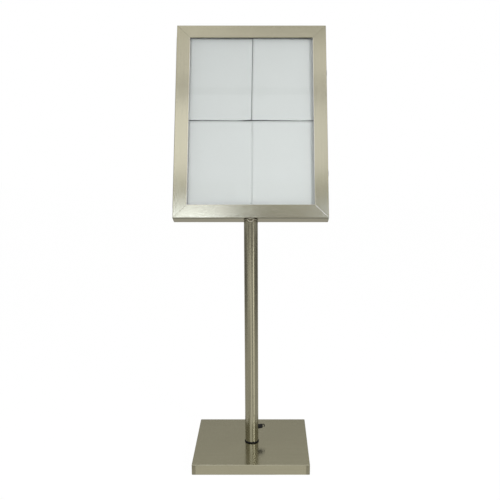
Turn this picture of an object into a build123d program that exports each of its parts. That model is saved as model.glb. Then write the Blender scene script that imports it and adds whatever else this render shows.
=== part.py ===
from build123d import *
import os
from math import cos, radians, sin

# A free-standing information display: a tilted, glazed and lit showcase on a round pole
# with a square weighted base. Millimetres. The origin is the centre of the base on the
# floor, +Z is up and the showcase faces -Y.

os.makedirs("parts", exist_ok=True)

# Base
BASE_SIDE = 380.0
BASE_HEIGHT = 35.0
BASE_SHEET = 1.5
BASE_CORNER_RADIUS = 3.0
BASE_FOLD_RADIUS = 1.4
SKIRT_LIFT = 1.0
MAT_THICKNESS = 3.0
BALLAST_CLEARANCE = 0.3

# Bolt that clamps the pole, cover and ballast together
FOOT_BOLT_RADIUS = 8.0
FOOT_BOLT_REACH = 30.0
FOOT_HEAD_FLATS = 24.0
FOOT_HEAD_HEIGHT = 10.0
FOOT_WASHER_RADIUS = 20.0
FOOT_WASHER_THICKNESS = 3.0
FOOT_RECESS_CLEARANCE = 1.0
BOLT_HOLE_CLEARANCE = 0.5
THREAD_CLEARANCE = 0.05

# Pole
POLE_RADIUS = 22.5
POLE_WALL = 2.0
POLE_JOINT_HEIGHT = 554.0
POLE_JOINT_CHAMFER = 0.4
PLUG_CLEARANCE = 0.1
FOOT_RING_THICKNESS = 4.0
FOOT_RING_OVERHANG = 1.5
FOOT_PLUG_LENGTH = 37.0
SLEEVE_LENGTH = 120.0
SLEEVE_WALL = 5.0
JOINT_SCREW_RADIUS = 2.5
JOINT_SCREW_HEAD_RADIUS = 4.5
JOINT_SCREW_HEAD_HEIGHT = 2.2
JOINT_SCREW_HEX = 3.0
JOINT_SCREW_HEX_DEPTH = 1.5
JOINT_SCREW_OFFSET = 30.0
JOINT_SCREW_AZIMUTHS = (60.0, 120.0)
SEAT_CLEARANCE = 0.05

# Showcase, sized round two rows of two A4 sheets
SHEET_WIDTH = 210.0
SHEET_LENGTH = 297.0
SHEET_THICKNESS = 0.3
SHEET_BORDER = 40.0
DISPLAY_WIDTH = 2 * (SHEET_WIDTH + SHEET_BORDER)
DISPLAY_HEIGHT = 2 * (SHEET_LENGTH + SHEET_BORDER)
DISPLAY_TILT = 25.0
FRONT_EDGE_HEIGHT = 808.0
RAIL_WIDTH = 45.0
DOOR_DEPTH = 12.0
DOOR_GAP = 1.5
CASE_DEPTH = 34.5
FRAME_SHEET = 1.5
FRAME_FOLD_RADIUS = 1.4
LIP_DEPTH = 4.0
DOOR_FLANGE = 18.0
CASE_FLANGE = 22.0
CASE_REAR_FLANGE = 12.0
BACK_SHEET = 1.2
COVER_SCREW_RADIUS = 2.0
COVER_SCREW_HEAD_RADIUS = 3.6
COVER_SCREW_HEAD_HEIGHT = 2.0
COVER_SCREW_REACH = 5.0
COVER_SCREW_CORNER = 20.0
COVER_SCREWS_UP = 4
CROSS_RECESS = (3.6, 0.9)
CROSS_RECESS_DEPTH = 1.2

# Joint between pole and showcase
HEAD_GASKET_THICKNESS = 1.5
HEAD_PLUG_LENGTH = 22.0
HEAD_BOLT_RADIUS = 3.0
HEAD_BOLT_HEAD_RADIUS = 5.0
HEAD_BOLT_HEAD_HEIGHT = 6.0
HEAD_BOLT_REACH = 16.0
HEAD_BOLT_SPREAD = 22.0
HEAD_BOLT_DEPTHS = (21.0, 37.5)
STIFFENER_LENGTH = 110.0
STIFFENER_THICKNESS = 4.0
STIFFENER_CLEARANCE = 0.5

# Glazing
GASKET_THICKNESS = 1.0
GASKET_SHOW = 0.7
GLASS_THICKNESS = 4.0
GLASS_OVERLAP = 7.0
BEAD_FOOT = 7.0
BEAD_TONGUE = 5.5
BEAD_SHEET = 1.5
BEAD_MITRE_GAP = 0.3
STUD_RADIUS = 1.5
STUD_NUT_FLATS = 5.5
STUD_NUT_HEIGHT = 2.2
STUDS_UP = 5
STUDS_ACROSS = 3
STUD_CORNER = 80.0

# Board, sheets and their fixings
BOARD_FRONT = 18.0
BOARD_SHEET = 1.2
BOARD_SIDE_MARGIN = 24.0
BOARD_END_MARGIN = 30.0
SHEET_ROW_GAP = 2.2
SHEET_COLUMN_GAP = 1.5
SHEET_GAP_MIDDLE = 2.2
SHEETS_RISE = 0.9
STANDOFF_RADIUS = 5.0
STANDOFF_CORNER = (66.0, 80.0)
BOARD_SCREW_RADIUS = 2.0
BOARD_SCREW_REACH = 14.0

# Lighting
LED_END_MARGIN = 50.0
LED_CHANNEL_WIDTH = 10.0
LED_CHANNEL_HEIGHT = 8.5
LED_CHANNEL_SHEET = 1.2
LED_CHANNEL_INSET = 0.5
LED_STRIP_WIDTH = 6.0
LED_STRIP_THICKNESS = 0.5
LED_STRIP_DROP = 1.0
LED_CHIP = (1.4, 3.0, 3.5)
LED_CHIP_PITCH = 33.0
DRIVER_SIZE = (60.0, 150.0, 20.0)
DRIVER_BOTTOM = 70.0
DRIVER_EDGE_RADIUS = 3.0
LEAD_RADIUS = 1.2
LEAD_SPREAD = 20.0
LEAD_AFTER_CHIPS = 6
LEAD_HOLE_CLEARANCE = 0.8
LEAD_BENDS = (12.0, 8.0, 3.2)

# Power inlet low on the pole and the cable that runs up inside
SOCKET_AZIMUTH = 24.0
SOCKET_HEIGHT = 83.0
SOCKET_BARREL_RADIUS = 5.5
SOCKET_REAR = 10.0
SOCKET_FLANGE_RADIUS = 8.0
SOCKET_FLANGE_THICKNESS = 3.0
SOCKET_NOSE_LENGTH = 10.5
SOCKET_NOSE_RADIUS = 5.45
SOCKET_MOUTH_RADIUS = 4.0
SOCKET_MOUTH_DEPTH = 9.0
SOCKET_PIN_RADIUS = 1.2
SOCKET_NUT_RADIUS = 8.0
SOCKET_NUT_THICKNESS = 3.0
CAP_RADIUS = 7.5
CAP_END = 2.5
CAP_FIT = 0.05
CAP_ROUNDING = 1.8
TAB_RADIUS = 1.6
TAB_RISE = 5.2
TAB_REACH = 3.0
TAB_BEND_RADIUS = 5.4
TAB_BEND = 100.0
TAB_TAIL = 4.0
CABLE_RADIUS = 2.5
CABLE_HOLE_RADIUS = 5.5
CABLE_DEPTH = 29.0
CABLE_FOOT_OVERRUN = 4.0
CABLE_FOOT_BEND = 11.0
CABLE_HEAD_BEND = 60.0
CABLE_HEAD_RUN = 36.0
GROMMET_WALL_CLEARANCE = 0.1
GROMMET_RIM_RADIUS = 7.0
GROMMET_RIM_HEIGHT = 2.0

# Door hinge down the left edge
HINGE_END_MARGIN = 37.0
KNUCKLES = 11
KNUCKLE_RADIUS = 2.5
KNUCKLE_PLAY = 0.5
KNUCKLE_RELIEF = 0.5
HINGE_PIN_RADIUS = 1.2
HINGE_PIN_CLEARANCE = 0.05
HINGE_EDGE = 0.5
LEAF_THICKNESS = 0.7
LEAF_WIDTH = 11.5
HINGE_BAR = (6.0, 3.0)

# Door seal
SEAL_WIDTH = 6.0
SEAL_EDGE = 3.5

# Cam locks in the right wall and the hooks on the door that they hold
LOCK_CORNER = 160.0
LOCK_DEPTH = 31.0
LOCK_HEAD_RADIUS = 11.0
LOCK_HEAD_THICKNESS = 2.5
LOCK_BARREL_RADIUS = 8.0
LOCK_BARREL_LENGTH = 11.0
LOCK_HOLE_CLEARANCE = 0.1
LOCK_NUT_FLATS = 21.0
LOCK_NUT_THICKNESS = 4.0
LOCK_PLUG_RADIUS = 4.95
LOCK_PLUG_CLEARANCE = 0.05
LOCK_PLUG_SET_BACK = 0.2
KEYWAY = (1.2, 6.5, 3.0)
LOCK_TAIL = 6.0
LOCK_TAIL_CLEARANCE = 0.05
LOCK_RIVET_RADIUS = 4.2
LOCK_RIVET_THICKNESS = 1.5
CAM_SHEET = 2.0
CAM_STEP = 1.0
CAM_HALF_WIDTH = 4.0
CAM_HEEL = 5.0
CAM_REACH = 14.0
HOOK_SHEET = 2.0
HOOK_LIP_CLEARANCE = 0.7
HOOK_LIP = 3.3
HOOK_SIDE_CLEARANCE = 1.5
HOOK_ARM_CLEARANCE = 0.6
HOOK_ARM_WIDTH = 6.0
HOOK_FOOT = (14.0, 20.0, 1.5)
HOOK_SLOT_CLEARANCE = 1.5

# Derived sizes and reference planes
TILT = radians(DISPLAY_TILT)
UP = Vector(0, sin(TILT), cos(TILT))
OUT = Vector(0, -cos(TILT), sin(TILT))
ACROSS = Vector(1, 0, 0)
HALF_WIDTH = DISPLAY_WIDTH / 2
CASE_FRONT = DOOR_DEPTH + DOOR_GAP
DISPLAY_DEPTH = CASE_FRONT + CASE_DEPTH
CASE_BACK = DISPLAY_DEPTH - BACK_SHEET
POLE_BORE = POLE_RADIUS - POLE_WALL
PLUG_RADIUS = POLE_BORE - PLUG_CLEARANCE
TUBE_FOOT = BASE_HEIGHT + FOOT_RING_THICKNESS

# The middle of the showcase's underside lies over the pole's axis.
FACE = Plane(origin=(0, -DISPLAY_DEPTH / 2 * cos(TILT), FRONT_EDGE_HEIGHT), x_dir=ACROSS, z_dir=OUT)


def on_face(across, up, depth):
    """Point given by its place on the front face and its depth behind that face."""
    return FACE.from_local_coords((across, up, -depth))


def behind_face(depth):
    """Plane parallel to the front face, the given depth behind it."""
    return FACE.offset(-depth)


def level(up):
    """Plane square to the front face at a height up it: across, then depth."""
    return Plane(on_face(0, up, 0), x_dir=ACROSS, z_dir=UP)


SIDES = {"bottom": ACROSS, "right": UP, "top": ACROSS * -1, "left": UP * -1}


def edge_plane(side):
    """Plane of the front face at one outer edge: along the edge, then inwards."""
    along = SIDES[side]
    inwards = OUT.cross(along)
    reach = DISPLAY_HEIGHT / 2 if side in ("bottom", "top") else HALF_WIDTH
    return Plane(on_face(0, DISPLAY_HEIGHT / 2, 0) - inwards * reach, x_dir=along, z_dir=OUT)


def mitred_member(side, strips, round_corners=(), mitre_gap=0.0):
    """One mitred side of a frame. Each strip is (inset from, inset to, depth from, depth to)."""
    edge = edge_plane(side)
    length = DISPLAY_WIDTH if side in ("bottom", "top") else DISPLAY_HEIGHT
    half_length = length / 2 - mitre_gap
    inner = max(strip[1] for strip in strips)
    back = max(strip[3] for strip in strips)
    with BuildPart() as member:
        with BuildSketch(Plane(edge.origin, x_dir=edge.y_dir, z_dir=edge.x_dir)) as section:
            for inset_from, inset_to, depth_from, depth_to in strips:
                with Locations(((inset_from + inset_to) / 2, -(depth_from + depth_to) / 2)):
                    Rectangle(inset_to - inset_from, depth_to - depth_from)
            for inset, depth in round_corners:
                fillet(section.vertices().sort_by_distance((inset, -depth, 0))[0], FRAME_FOLD_RADIUS)
        extrude(amount=length / 2, both=True)
        with BuildSketch(edge):
            Polygon(
                (-half_length, 0),
                (half_length, 0),
                (half_length - inner, inner),
                (inner - half_length, inner),
            )
        extrude(amount=-back, mode=Mode.INTERSECT)
    return member.part


def write(builder, name):
    """Label a finished piece and write it."""
    builder.part.label = name
    export_step(builder.part, f"parts/{name}.step")


# Base: rubber mat, cast ballast slab and folded cover
base_inner_side = BASE_SIDE - 2 * BASE_SHEET
base_inner_radius = BASE_CORNER_RADIUS - BASE_SHEET
slab_side = base_inner_side - 2 * BALLAST_CLEARANCE
slab_height = BASE_HEIGHT - BASE_SHEET - MAT_THICKNESS
recess_depth = FOOT_HEAD_HEIGHT + FOOT_WASHER_THICKNESS + FOOT_RECESS_CLEARANCE

with BuildPart() as base_mat:
    with BuildSketch(Plane.XY):
        RectangleRounded(slab_side, slab_side, base_inner_radius)
    extrude(amount=MAT_THICKNESS)
write(base_mat, "base_mat")

with BuildPart() as ballast_slab:
    with BuildSketch(Plane.XY.offset(MAT_THICKNESS)):
        RectangleRounded(slab_side, slab_side, base_inner_radius)
    extrude(amount=slab_height)
    with Locations(Plane(origin=(0, 0, MAT_THICKNESS), z_dir=(0, 0, -1))):
        CounterBoreHole(
            radius=FOOT_BOLT_RADIUS + BOLT_HOLE_CLEARANCE,
            counter_bore_radius=FOOT_WASHER_RADIUS + FOOT_RECESS_CLEARANCE,
            counter_bore_depth=recess_depth,
        )
write(ballast_slab, "ballast_slab")

with BuildPart() as base_cover:
    with BuildSketch(Plane.XY.offset(SKIRT_LIFT)):
        RectangleRounded(BASE_SIDE, BASE_SIDE, BASE_CORNER_RADIUS)
    extrude(amount=BASE_HEIGHT - SKIRT_LIFT)
    fillet(base_cover.faces().sort_by(Axis.Z)[-1].edges(), BASE_FOLD_RADIUS)
    with BuildSketch(Plane.XY.offset(SKIRT_LIFT)):
        RectangleRounded(base_inner_side, base_inner_side, base_inner_radius)
    extrude(amount=BASE_HEIGHT - BASE_SHEET - SKIRT_LIFT, mode=Mode.SUBTRACT)
    with Locations((0, 0, BASE_HEIGHT)):
        Hole(FOOT_BOLT_RADIUS + BOLT_HOLE_CLEARANCE)
write(base_cover, "base_cover")

# Foot of the pole: ring, tapped plug, bolt and washer
with BuildPart() as foot_ring:
    with BuildSketch(Plane.XY.offset(BASE_HEIGHT)):
        Circle(POLE_RADIUS + FOOT_RING_OVERHANG)
        Circle(POLE_BORE, mode=Mode.SUBTRACT)
    extrude(amount=FOOT_RING_THICKNESS)
    fillet(foot_ring.edges().filter_by(GeomType.CIRCLE).group_by(SortBy.RADIUS)[-1], FOOT_RING_OVERHANG / 2)
write(foot_ring, "foot_ring")

with BuildPart() as foot_plug:
    with BuildSketch(Plane.XY.offset(BASE_HEIGHT)):
        Circle(PLUG_RADIUS)
        Circle(FOOT_BOLT_RADIUS + THREAD_CLEARANCE, mode=Mode.SUBTRACT)
    extrude(amount=FOOT_PLUG_LENGTH)
write(foot_plug, "foot_plug")

washer_bottom = MAT_THICKNESS + recess_depth - FOOT_WASHER_THICKNESS

with BuildPart() as foot_washer:
    with BuildSketch(Plane.XY.offset(washer_bottom)):
        Circle(FOOT_WASHER_RADIUS)
        Circle(FOOT_BOLT_RADIUS + BOLT_HOLE_CLEARANCE, mode=Mode.SUBTRACT)
    extrude(amount=FOOT_WASHER_THICKNESS)
write(foot_washer, "foot_washer")

with BuildPart() as foot_bolt:
    with BuildSketch(Plane.XY.offset(washer_bottom - FOOT_HEAD_HEIGHT)):
        RegularPolygon(FOOT_HEAD_FLATS / 2, 6, major_radius=False)
    extrude(amount=FOOT_HEAD_HEIGHT)
    with BuildSketch(Plane.XY.offset(washer_bottom)):
        Circle(FOOT_BOLT_RADIUS)
    extrude(amount=BASE_HEIGHT + FOOT_BOLT_REACH - washer_bottom)
write(foot_bolt, "foot_bolt")

# Pole: two tube sections, the sleeve inside their joint and the screws at the back
HEAD_PLANE = Plane(on_face(0, -HEAD_GASKET_THICKNESS, 0), x_dir=ACROSS, z_dir=UP)
POLE_HEIGHT_LIMIT = FRONT_EDGE_HEIGHT + 2 * POLE_RADIUS


def radial(azimuth, height):
    """Plane through the pole's axis that faces the given azimuth."""
    angle = radians(azimuth)
    facing = Vector(cos(angle), sin(angle), 0)
    return Plane(origin=(0, 0, height), x_dir=(-facing.Y, facing.X, 0), z_dir=facing)


SOCKET_PLANE = radial(SOCKET_AZIMUTH, SOCKET_HEIGHT)
lower_screws = [radial(a, POLE_JOINT_HEIGHT - JOINT_SCREW_OFFSET) for a in JOINT_SCREW_AZIMUTHS]
upper_screws = [radial(a, POLE_JOINT_HEIGHT + JOINT_SCREW_OFFSET) for a in JOINT_SCREW_AZIMUTHS]

with BuildPart() as lower_tube:
    with BuildSketch(Plane.XY.offset(TUBE_FOOT)):
        Circle(POLE_RADIUS)
        Circle(POLE_BORE, mode=Mode.SUBTRACT)
    extrude(amount=POLE_JOINT_HEIGHT - TUBE_FOOT)
    chamfer(lower_tube.faces().sort_by(Axis.Z)[-1].edges().sort_by(SortBy.RADIUS)[-1], POLE_JOINT_CHAMFER)
    with BuildSketch(SOCKET_PLANE):
        Circle(SOCKET_BARREL_RADIUS + PLUG_CLEARANCE)
    extrude(amount=2 * POLE_RADIUS, mode=Mode.SUBTRACT)
    with BuildSketch(*lower_screws):
        Circle(JOINT_SCREW_RADIUS + BOLT_HOLE_CLEARANCE)
    extrude(amount=2 * POLE_RADIUS, mode=Mode.SUBTRACT)
write(lower_tube, "lower_tube")

with BuildPart() as upper_tube:
    with BuildSketch(Plane.XY.offset(POLE_JOINT_HEIGHT)):
        Circle(POLE_RADIUS)
        Circle(POLE_BORE, mode=Mode.SUBTRACT)
    extrude(amount=POLE_HEIGHT_LIMIT - POLE_JOINT_HEIGHT)
    chamfer(upper_tube.faces().sort_by(Axis.Z)[0].edges().sort_by(SortBy.RADIUS)[-1], POLE_JOINT_CHAMFER)
    split(bisect_by=HEAD_PLANE, keep=Keep.BOTTOM)
    with BuildSketch(*upper_screws):
        Circle(JOINT_SCREW_RADIUS + BOLT_HOLE_CLEARANCE)
    extrude(amount=2 * POLE_RADIUS, mode=Mode.SUBTRACT)
write(upper_tube, "upper_tube")

with BuildPart() as joint_sleeve:
    with BuildSketch(Plane.XY.offset(POLE_JOINT_HEIGHT - SLEEVE_LENGTH / 2)):
        Circle(PLUG_RADIUS)
        Circle(PLUG_RADIUS - SLEEVE_WALL, mode=Mode.SUBTRACT)
    extrude(amount=SLEEVE_LENGTH)
    with BuildSketch(*lower_screws, *upper_screws):
        Circle(JOINT_SCREW_RADIUS + THREAD_CLEARANCE)
    extrude(amount=2 * POLE_RADIUS, mode=Mode.SUBTRACT)
write(joint_sleeve, "joint_sleeve")

with BuildPart() as joint_screws:
    with BuildSketch(*[p.offset(POLE_BORE) for p in lower_screws + upper_screws]):
        Circle(JOINT_SCREW_HEAD_RADIUS)
    extrude(amount=POLE_WALL + JOINT_SCREW_HEAD_HEIGHT)
    screw_rims = joint_screws.edges().filter_by(GeomType.CIRCLE).group_by(Axis.Y)[-1]
    fillet(screw_rims, JOINT_SCREW_HEAD_HEIGHT / 3)
    with BuildSketch(Plane.XY.offset(TUBE_FOOT)):
        Circle(POLE_RADIUS + SEAT_CLEARANCE)
    extrude(amount=POLE_HEIGHT_LIMIT, mode=Mode.SUBTRACT)
    with BuildSketch(*[p.offset(PLUG_RADIUS - SLEEVE_WALL) for p in lower_screws + upper_screws]):
        Circle(JOINT_SCREW_RADIUS)
    extrude(amount=SLEEVE_WALL + PLUG_CLEARANCE + POLE_WALL + JOINT_SCREW_HEAD_HEIGHT / 2)
    with BuildSketch(*[p.offset(POLE_RADIUS + JOINT_SCREW_HEAD_HEIGHT) for p in lower_screws + upper_screws]):
        RegularPolygon(JOINT_SCREW_HEX / 2, 6, major_radius=False)
    extrude(amount=-JOINT_SCREW_HEX_DEPTH, mode=Mode.SUBTRACT)
write(joint_screws, "joint_screws")

# Head of the pole: tapped plug, sealing gasket, stiffening plate and bolts
bolt_places = [(s * HEAD_BOLT_SPREAD / 2, depth) for s in (-1, 1) for depth in HEAD_BOLT_DEPTHS]
bolt_hole = HEAD_BOLT_RADIUS + BOLT_HOLE_CLEARANCE
stiffener_bottom = FRAME_SHEET
stiffener_top = stiffener_bottom + STIFFENER_THICKNESS
stiffener_front = CASE_FRONT + FRAME_SHEET + STIFFENER_CLEARANCE
stiffener_back = CASE_BACK - FRAME_SHEET - STIFFENER_CLEARANCE

with BuildPart() as head_plug:
    with BuildSketch(Plane.XY.offset(POLE_JOINT_HEIGHT)):
        Circle(PLUG_RADIUS)
    extrude(amount=POLE_HEIGHT_LIMIT - POLE_JOINT_HEIGHT)
    split(bisect_by=HEAD_PLANE, keep=Keep.BOTTOM)
    split(bisect_by=HEAD_PLANE.offset(-HEAD_PLUG_LENGTH), keep=Keep.TOP)
    with BuildSketch(HEAD_PLANE):
        with Locations(*bolt_places):
            Circle(HEAD_BOLT_RADIUS + THREAD_CLEARANCE)
        with Locations((0, CABLE_DEPTH)):
            Circle(CABLE_HOLE_RADIUS)
    extrude(amount=-2 * HEAD_PLUG_LENGTH, mode=Mode.SUBTRACT)
write(head_plug, "head_plug")

with BuildPart() as head_gasket:
    with BuildSketch(Plane.XY.offset(POLE_JOINT_HEIGHT)):
        Circle(POLE_RADIUS)
    extrude(amount=POLE_HEIGHT_LIMIT - POLE_JOINT_HEIGHT)
    split(bisect_by=HEAD_PLANE, keep=Keep.TOP)
    split(bisect_by=HEAD_PLANE.offset(HEAD_GASKET_THICKNESS), keep=Keep.BOTTOM)
    split(bisect_by=behind_face(CASE_FRONT), keep=Keep.BOTTOM)
    split(bisect_by=behind_face(DISPLAY_DEPTH), keep=Keep.TOP)
    with BuildSketch(HEAD_PLANE):
        with Locations(*bolt_places):
            Circle(bolt_hole)
        with Locations((0, CABLE_DEPTH)):
            Circle(CABLE_HOLE_RADIUS)
    extrude(amount=HEAD_GASKET_THICKNESS, mode=Mode.SUBTRACT)
write(head_gasket, "head_gasket")

with BuildPart() as case_stiffener:
    with BuildSketch(level(stiffener_bottom)):
        with Locations((0, (stiffener_front + stiffener_back) / 2)):
            Rectangle(STIFFENER_LENGTH, stiffener_back - stiffener_front)
        with Locations(*bolt_places):
            Circle(bolt_hole, mode=Mode.SUBTRACT)
        with Locations((0, CABLE_DEPTH)):
            Circle(CABLE_HOLE_RADIUS, mode=Mode.SUBTRACT)
    extrude(amount=STIFFENER_THICKNESS)
write(case_stiffener, "case_stiffener")

with BuildPart() as head_bolts:
    with BuildSketch(level(-HEAD_GASKET_THICKNESS - HEAD_BOLT_REACH)):
        with Locations(*bolt_places):
            Circle(HEAD_BOLT_RADIUS)
    extrude(amount=HEAD_BOLT_REACH + HEAD_GASKET_THICKNESS + stiffener_top)
    with BuildSketch(level(stiffener_top)):
        with Locations(*bolt_places):
            Circle(HEAD_BOLT_HEAD_RADIUS)
            RegularPolygon(HEAD_BOLT_RADIUS, 6, mode=Mode.SUBTRACT)
    extrude(amount=HEAD_BOLT_HEAD_HEIGHT)
    with BuildSketch(level(stiffener_top)):
        with Locations(*bolt_places):
            Circle(HEAD_BOLT_HEAD_RADIUS)
    extrude(amount=HEAD_BOLT_HEAD_HEIGHT / 2)
write(head_bolts, "head_bolts")

# Power inlet: bulkhead socket, its nut and the rubber cap with a pull tab
flange_outer = POLE_RADIUS + SOCKET_FLANGE_THICKNESS
nose_end = flange_outer + SOCKET_NOSE_LENGTH
cap_outer = nose_end + CAP_FIT + CAP_END

with BuildPart() as power_socket:
    with BuildSketch(SOCKET_PLANE.offset(POLE_BORE)):
        Circle(SOCKET_FLANGE_RADIUS)
    extrude(amount=flange_outer - POLE_BORE)
    with BuildSketch(Plane.XY.offset(TUBE_FOOT)):
        Circle(POLE_RADIUS + SEAT_CLEARANCE)
    extrude(amount=2 * SOCKET_HEIGHT, mode=Mode.SUBTRACT)
    with BuildSketch(SOCKET_PLANE.offset(SOCKET_REAR)):
        Circle(SOCKET_BARREL_RADIUS)
    extrude(amount=flange_outer - SOCKET_REAR)
    with BuildSketch(SOCKET_PLANE.offset(flange_outer)):
        Circle(SOCKET_NOSE_RADIUS)
    extrude(amount=SOCKET_NOSE_LENGTH)
    with BuildSketch(SOCKET_PLANE.offset(nose_end)):
        Circle(SOCKET_MOUTH_RADIUS)
        Circle(SOCKET_PIN_RADIUS, mode=Mode.SUBTRACT)
    extrude(amount=-SOCKET_MOUTH_DEPTH, mode=Mode.SUBTRACT)
write(power_socket, "power_socket")

with BuildPart() as socket_nut:
    with BuildSketch(SOCKET_PLANE.offset(POLE_BORE)):
        Circle(SOCKET_NUT_RADIUS)
        Circle(SOCKET_BARREL_RADIUS + THREAD_CLEARANCE, mode=Mode.SUBTRACT)
    extrude(amount=-SOCKET_NUT_THICKNESS - POLE_WALL)
    with BuildSketch(Plane.XY.offset(TUBE_FOOT)):
        Circle(POLE_BORE - SEAT_CLEARANCE)
    extrude(amount=2 * SOCKET_HEIGHT, mode=Mode.INTERSECT)
write(socket_nut, "socket_nut")

socket_axis = SOCKET_PLANE.z_dir
TAB_PLANE = Plane(SOCKET_PLANE.origin, x_dir=socket_axis, z_dir=socket_axis.cross(Vector(0, 0, 1)))

with BuildPart() as socket_cap:
    with BuildSketch(SOCKET_PLANE.offset(flange_outer)):
        Circle(CAP_RADIUS)
    extrude(amount=cap_outer - flange_outer)
    fillet(socket_cap.faces().sort_by(Axis(SOCKET_PLANE.origin, socket_axis))[-1].edges(), CAP_ROUNDING)
    with BuildSketch(SOCKET_PLANE.offset(flange_outer)):
        Circle(SOCKET_NOSE_RADIUS + CAP_FIT)
    extrude(amount=SOCKET_NOSE_LENGTH + CAP_FIT, mode=Mode.SUBTRACT)
    with BuildLine(TAB_PLANE) as tab_line:
        tab_root = Line((cap_outer - CAP_END / 2, TAB_RISE), (cap_outer + TAB_REACH, TAB_RISE))
        tab_bend = JernArc(tab_root @ 1, tab_root % 1, TAB_BEND_RADIUS, -TAB_BEND)
        Line(tab_bend @ 1, (tab_bend @ 1) + (tab_bend % 1) * TAB_TAIL)
    with BuildSketch(Plane(tab_root @ 0, z_dir=tab_root % 0)):
        Circle(TAB_RADIUS)
    sweep(path=tab_line.line)
write(socket_cap, "socket_cap")

# Cable from the socket up the pole to the driver, and the grommet at the showcase
cable_top = on_face(0, -HEAD_GASKET_THICKNESS, CABLE_DEPTH)
cable_route = [
    SOCKET_PLANE.from_local_coords((0, 0, SOCKET_REAR)),
    SOCKET_PLANE.from_local_coords((0, 0, -CABLE_FOOT_OVERRUN)),
    cable_top - UP * CABLE_HEAD_RUN,
    on_face(0, DRIVER_BOTTOM, CABLE_DEPTH),
]

with BuildPart() as pole_cable:
    with BuildLine() as cable_line:
        FilletPolyline(*cable_route, radius=(CABLE_FOOT_BEND, CABLE_HEAD_BEND))
    with BuildSketch(Plane(cable_line.line @ 0, z_dir=cable_line.line % 0)):
        Circle(CABLE_RADIUS)
    sweep(path=cable_line.line)
write(pole_cable, "pole_cable")

with BuildPart() as cable_grommet:
    with BuildSketch(level(0)):
        with Locations((0, CABLE_DEPTH)):
            Circle(CABLE_HOLE_RADIUS - GROMMET_WALL_CLEARANCE)
    extrude(amount=stiffener_top)
    with BuildSketch(level(stiffener_top)):
        with Locations((0, CABLE_DEPTH)):
            Circle(GROMMET_RIM_RADIUS)
    extrude(amount=GROMMET_RIM_HEIGHT)
    with BuildSketch(level(0)):
        with Locations((0, CABLE_DEPTH)):
            Circle(CABLE_RADIUS + SEAT_CLEARANCE)
    extrude(amount=stiffener_top + GROMMET_RIM_HEIGHT, mode=Mode.SUBTRACT)
write(cable_grommet, "cable_grommet")

# Case: four mitred folded walls with a front and a rear flange, and the screwed back cover
case_strips = [
    (0, FRAME_SHEET, CASE_FRONT, CASE_BACK),
    (0, CASE_FLANGE, CASE_FRONT, CASE_FRONT + FRAME_SHEET),
    (0, CASE_REAR_FLANGE, CASE_BACK - FRAME_SHEET, CASE_BACK),
]
case_corners = [(0, CASE_FRONT)]
screw_inset = CASE_REAR_FLANGE / 2
screw_up_pitch = (DISPLAY_HEIGHT - 2 * COVER_SCREW_CORNER) / (COVER_SCREWS_UP - 1)
screw_heights = [COVER_SCREW_CORNER + n * screw_up_pitch for n in range(COVER_SCREWS_UP)]
cover_screw_places = [(s * (HALF_WIDTH - screw_inset), h) for s in (-1, 1) for h in screw_heights]
cover_screw_places += [
    (s * DISPLAY_WIDTH / 4, up) for s in (-1, 1) for up in (screw_inset, DISPLAY_HEIGHT - screw_inset)
]

HINGE_ACROSS = -HALF_WIDTH + HINGE_EDGE
HINGE_DEPTH = DOOR_DEPTH + DOOR_GAP / 2
HINGE_LENGTH = DISPLAY_HEIGHT - 2 * HINGE_END_MARGIN
HINGE_PLANE = Plane(on_face(HINGE_ACROSS, HINGE_END_MARGIN, HINGE_DEPTH), x_dir=ACROSS, z_dir=UP)
knuckle_pitch = HINGE_LENGTH / KNUCKLES

WALL_PLANE = Plane(on_face(HALF_WIDTH, 0, 0), x_dir=UP, z_dir=ACROSS)
LOCK_HEIGHTS = (LOCK_CORNER, DISPLAY_HEIGHT - LOCK_CORNER)
lock_places = [(h, -LOCK_DEPTH) for h in LOCK_HEIGHTS]
barrel_end = FRAME_SHEET + LOCK_BARREL_LENGTH
cam_from = barrel_end + CAM_STEP
cam_to = cam_from + CAM_SHEET
hook_across = HALF_WIDTH - (cam_from + cam_to) / 2
cam_sweep = (CAM_REACH**2 + CAM_HALF_WIDTH**2) ** 0.5
hook_arm_low = cam_sweep + HOOK_ARM_CLEARANCE
hook_arm_high = hook_arm_low + HOOK_ARM_WIDTH
hook_lip_low = CAM_HALF_WIDTH + HOOK_SIDE_CLEARANCE
hook_lip_front = LOCK_DEPTH + CAM_HALF_WIDTH + HOOK_LIP_CLEARANCE
hook_lip_back = hook_lip_front + HOOK_LIP
hook_slot_low = hook_lip_low - HOOK_SLOT_CLEARANCE
hook_slot_high = hook_arm_high + HOOK_SLOT_CLEARANCE
hook_slot_width = HOOK_SHEET + 2 * HOOK_SLOT_CLEARANCE
hook_slot_places = [(hook_across, h + (hook_slot_low + hook_slot_high) / 2) for h in LOCK_HEIGHTS]

wall_blanks = {side: mitred_member(side, case_strips, case_corners) for side in ("bottom", "top", "right")}

# On the hinge side a bar in the fold carries the flange where the knuckles cut the corner away.
case_fold = CASE_FRONT + FRAME_SHEET
case_hinge_strips = case_strips + [(0, HINGE_BAR[0], case_fold, case_fold + HINGE_BAR[1])]
wall_blanks["left"] = mitred_member("left", case_hinge_strips, case_corners)

with BuildPart() as case_wall_bottom:
    add(wall_blanks["bottom"])
    with BuildSketch(level(0)):
        with Locations(*bolt_places):
            Circle(bolt_hole)
        with Locations((0, CABLE_DEPTH)):
            Circle(CABLE_HOLE_RADIUS)
    extrude(amount=FRAME_SHEET, mode=Mode.SUBTRACT)
    with BuildSketch(behind_face(CASE_BACK)):
        with Locations(*cover_screw_places):
            Circle(COVER_SCREW_RADIUS + THREAD_CLEARANCE)
    extrude(amount=FRAME_SHEET, mode=Mode.SUBTRACT)
write(case_wall_bottom, "case_wall_bottom")

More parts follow.
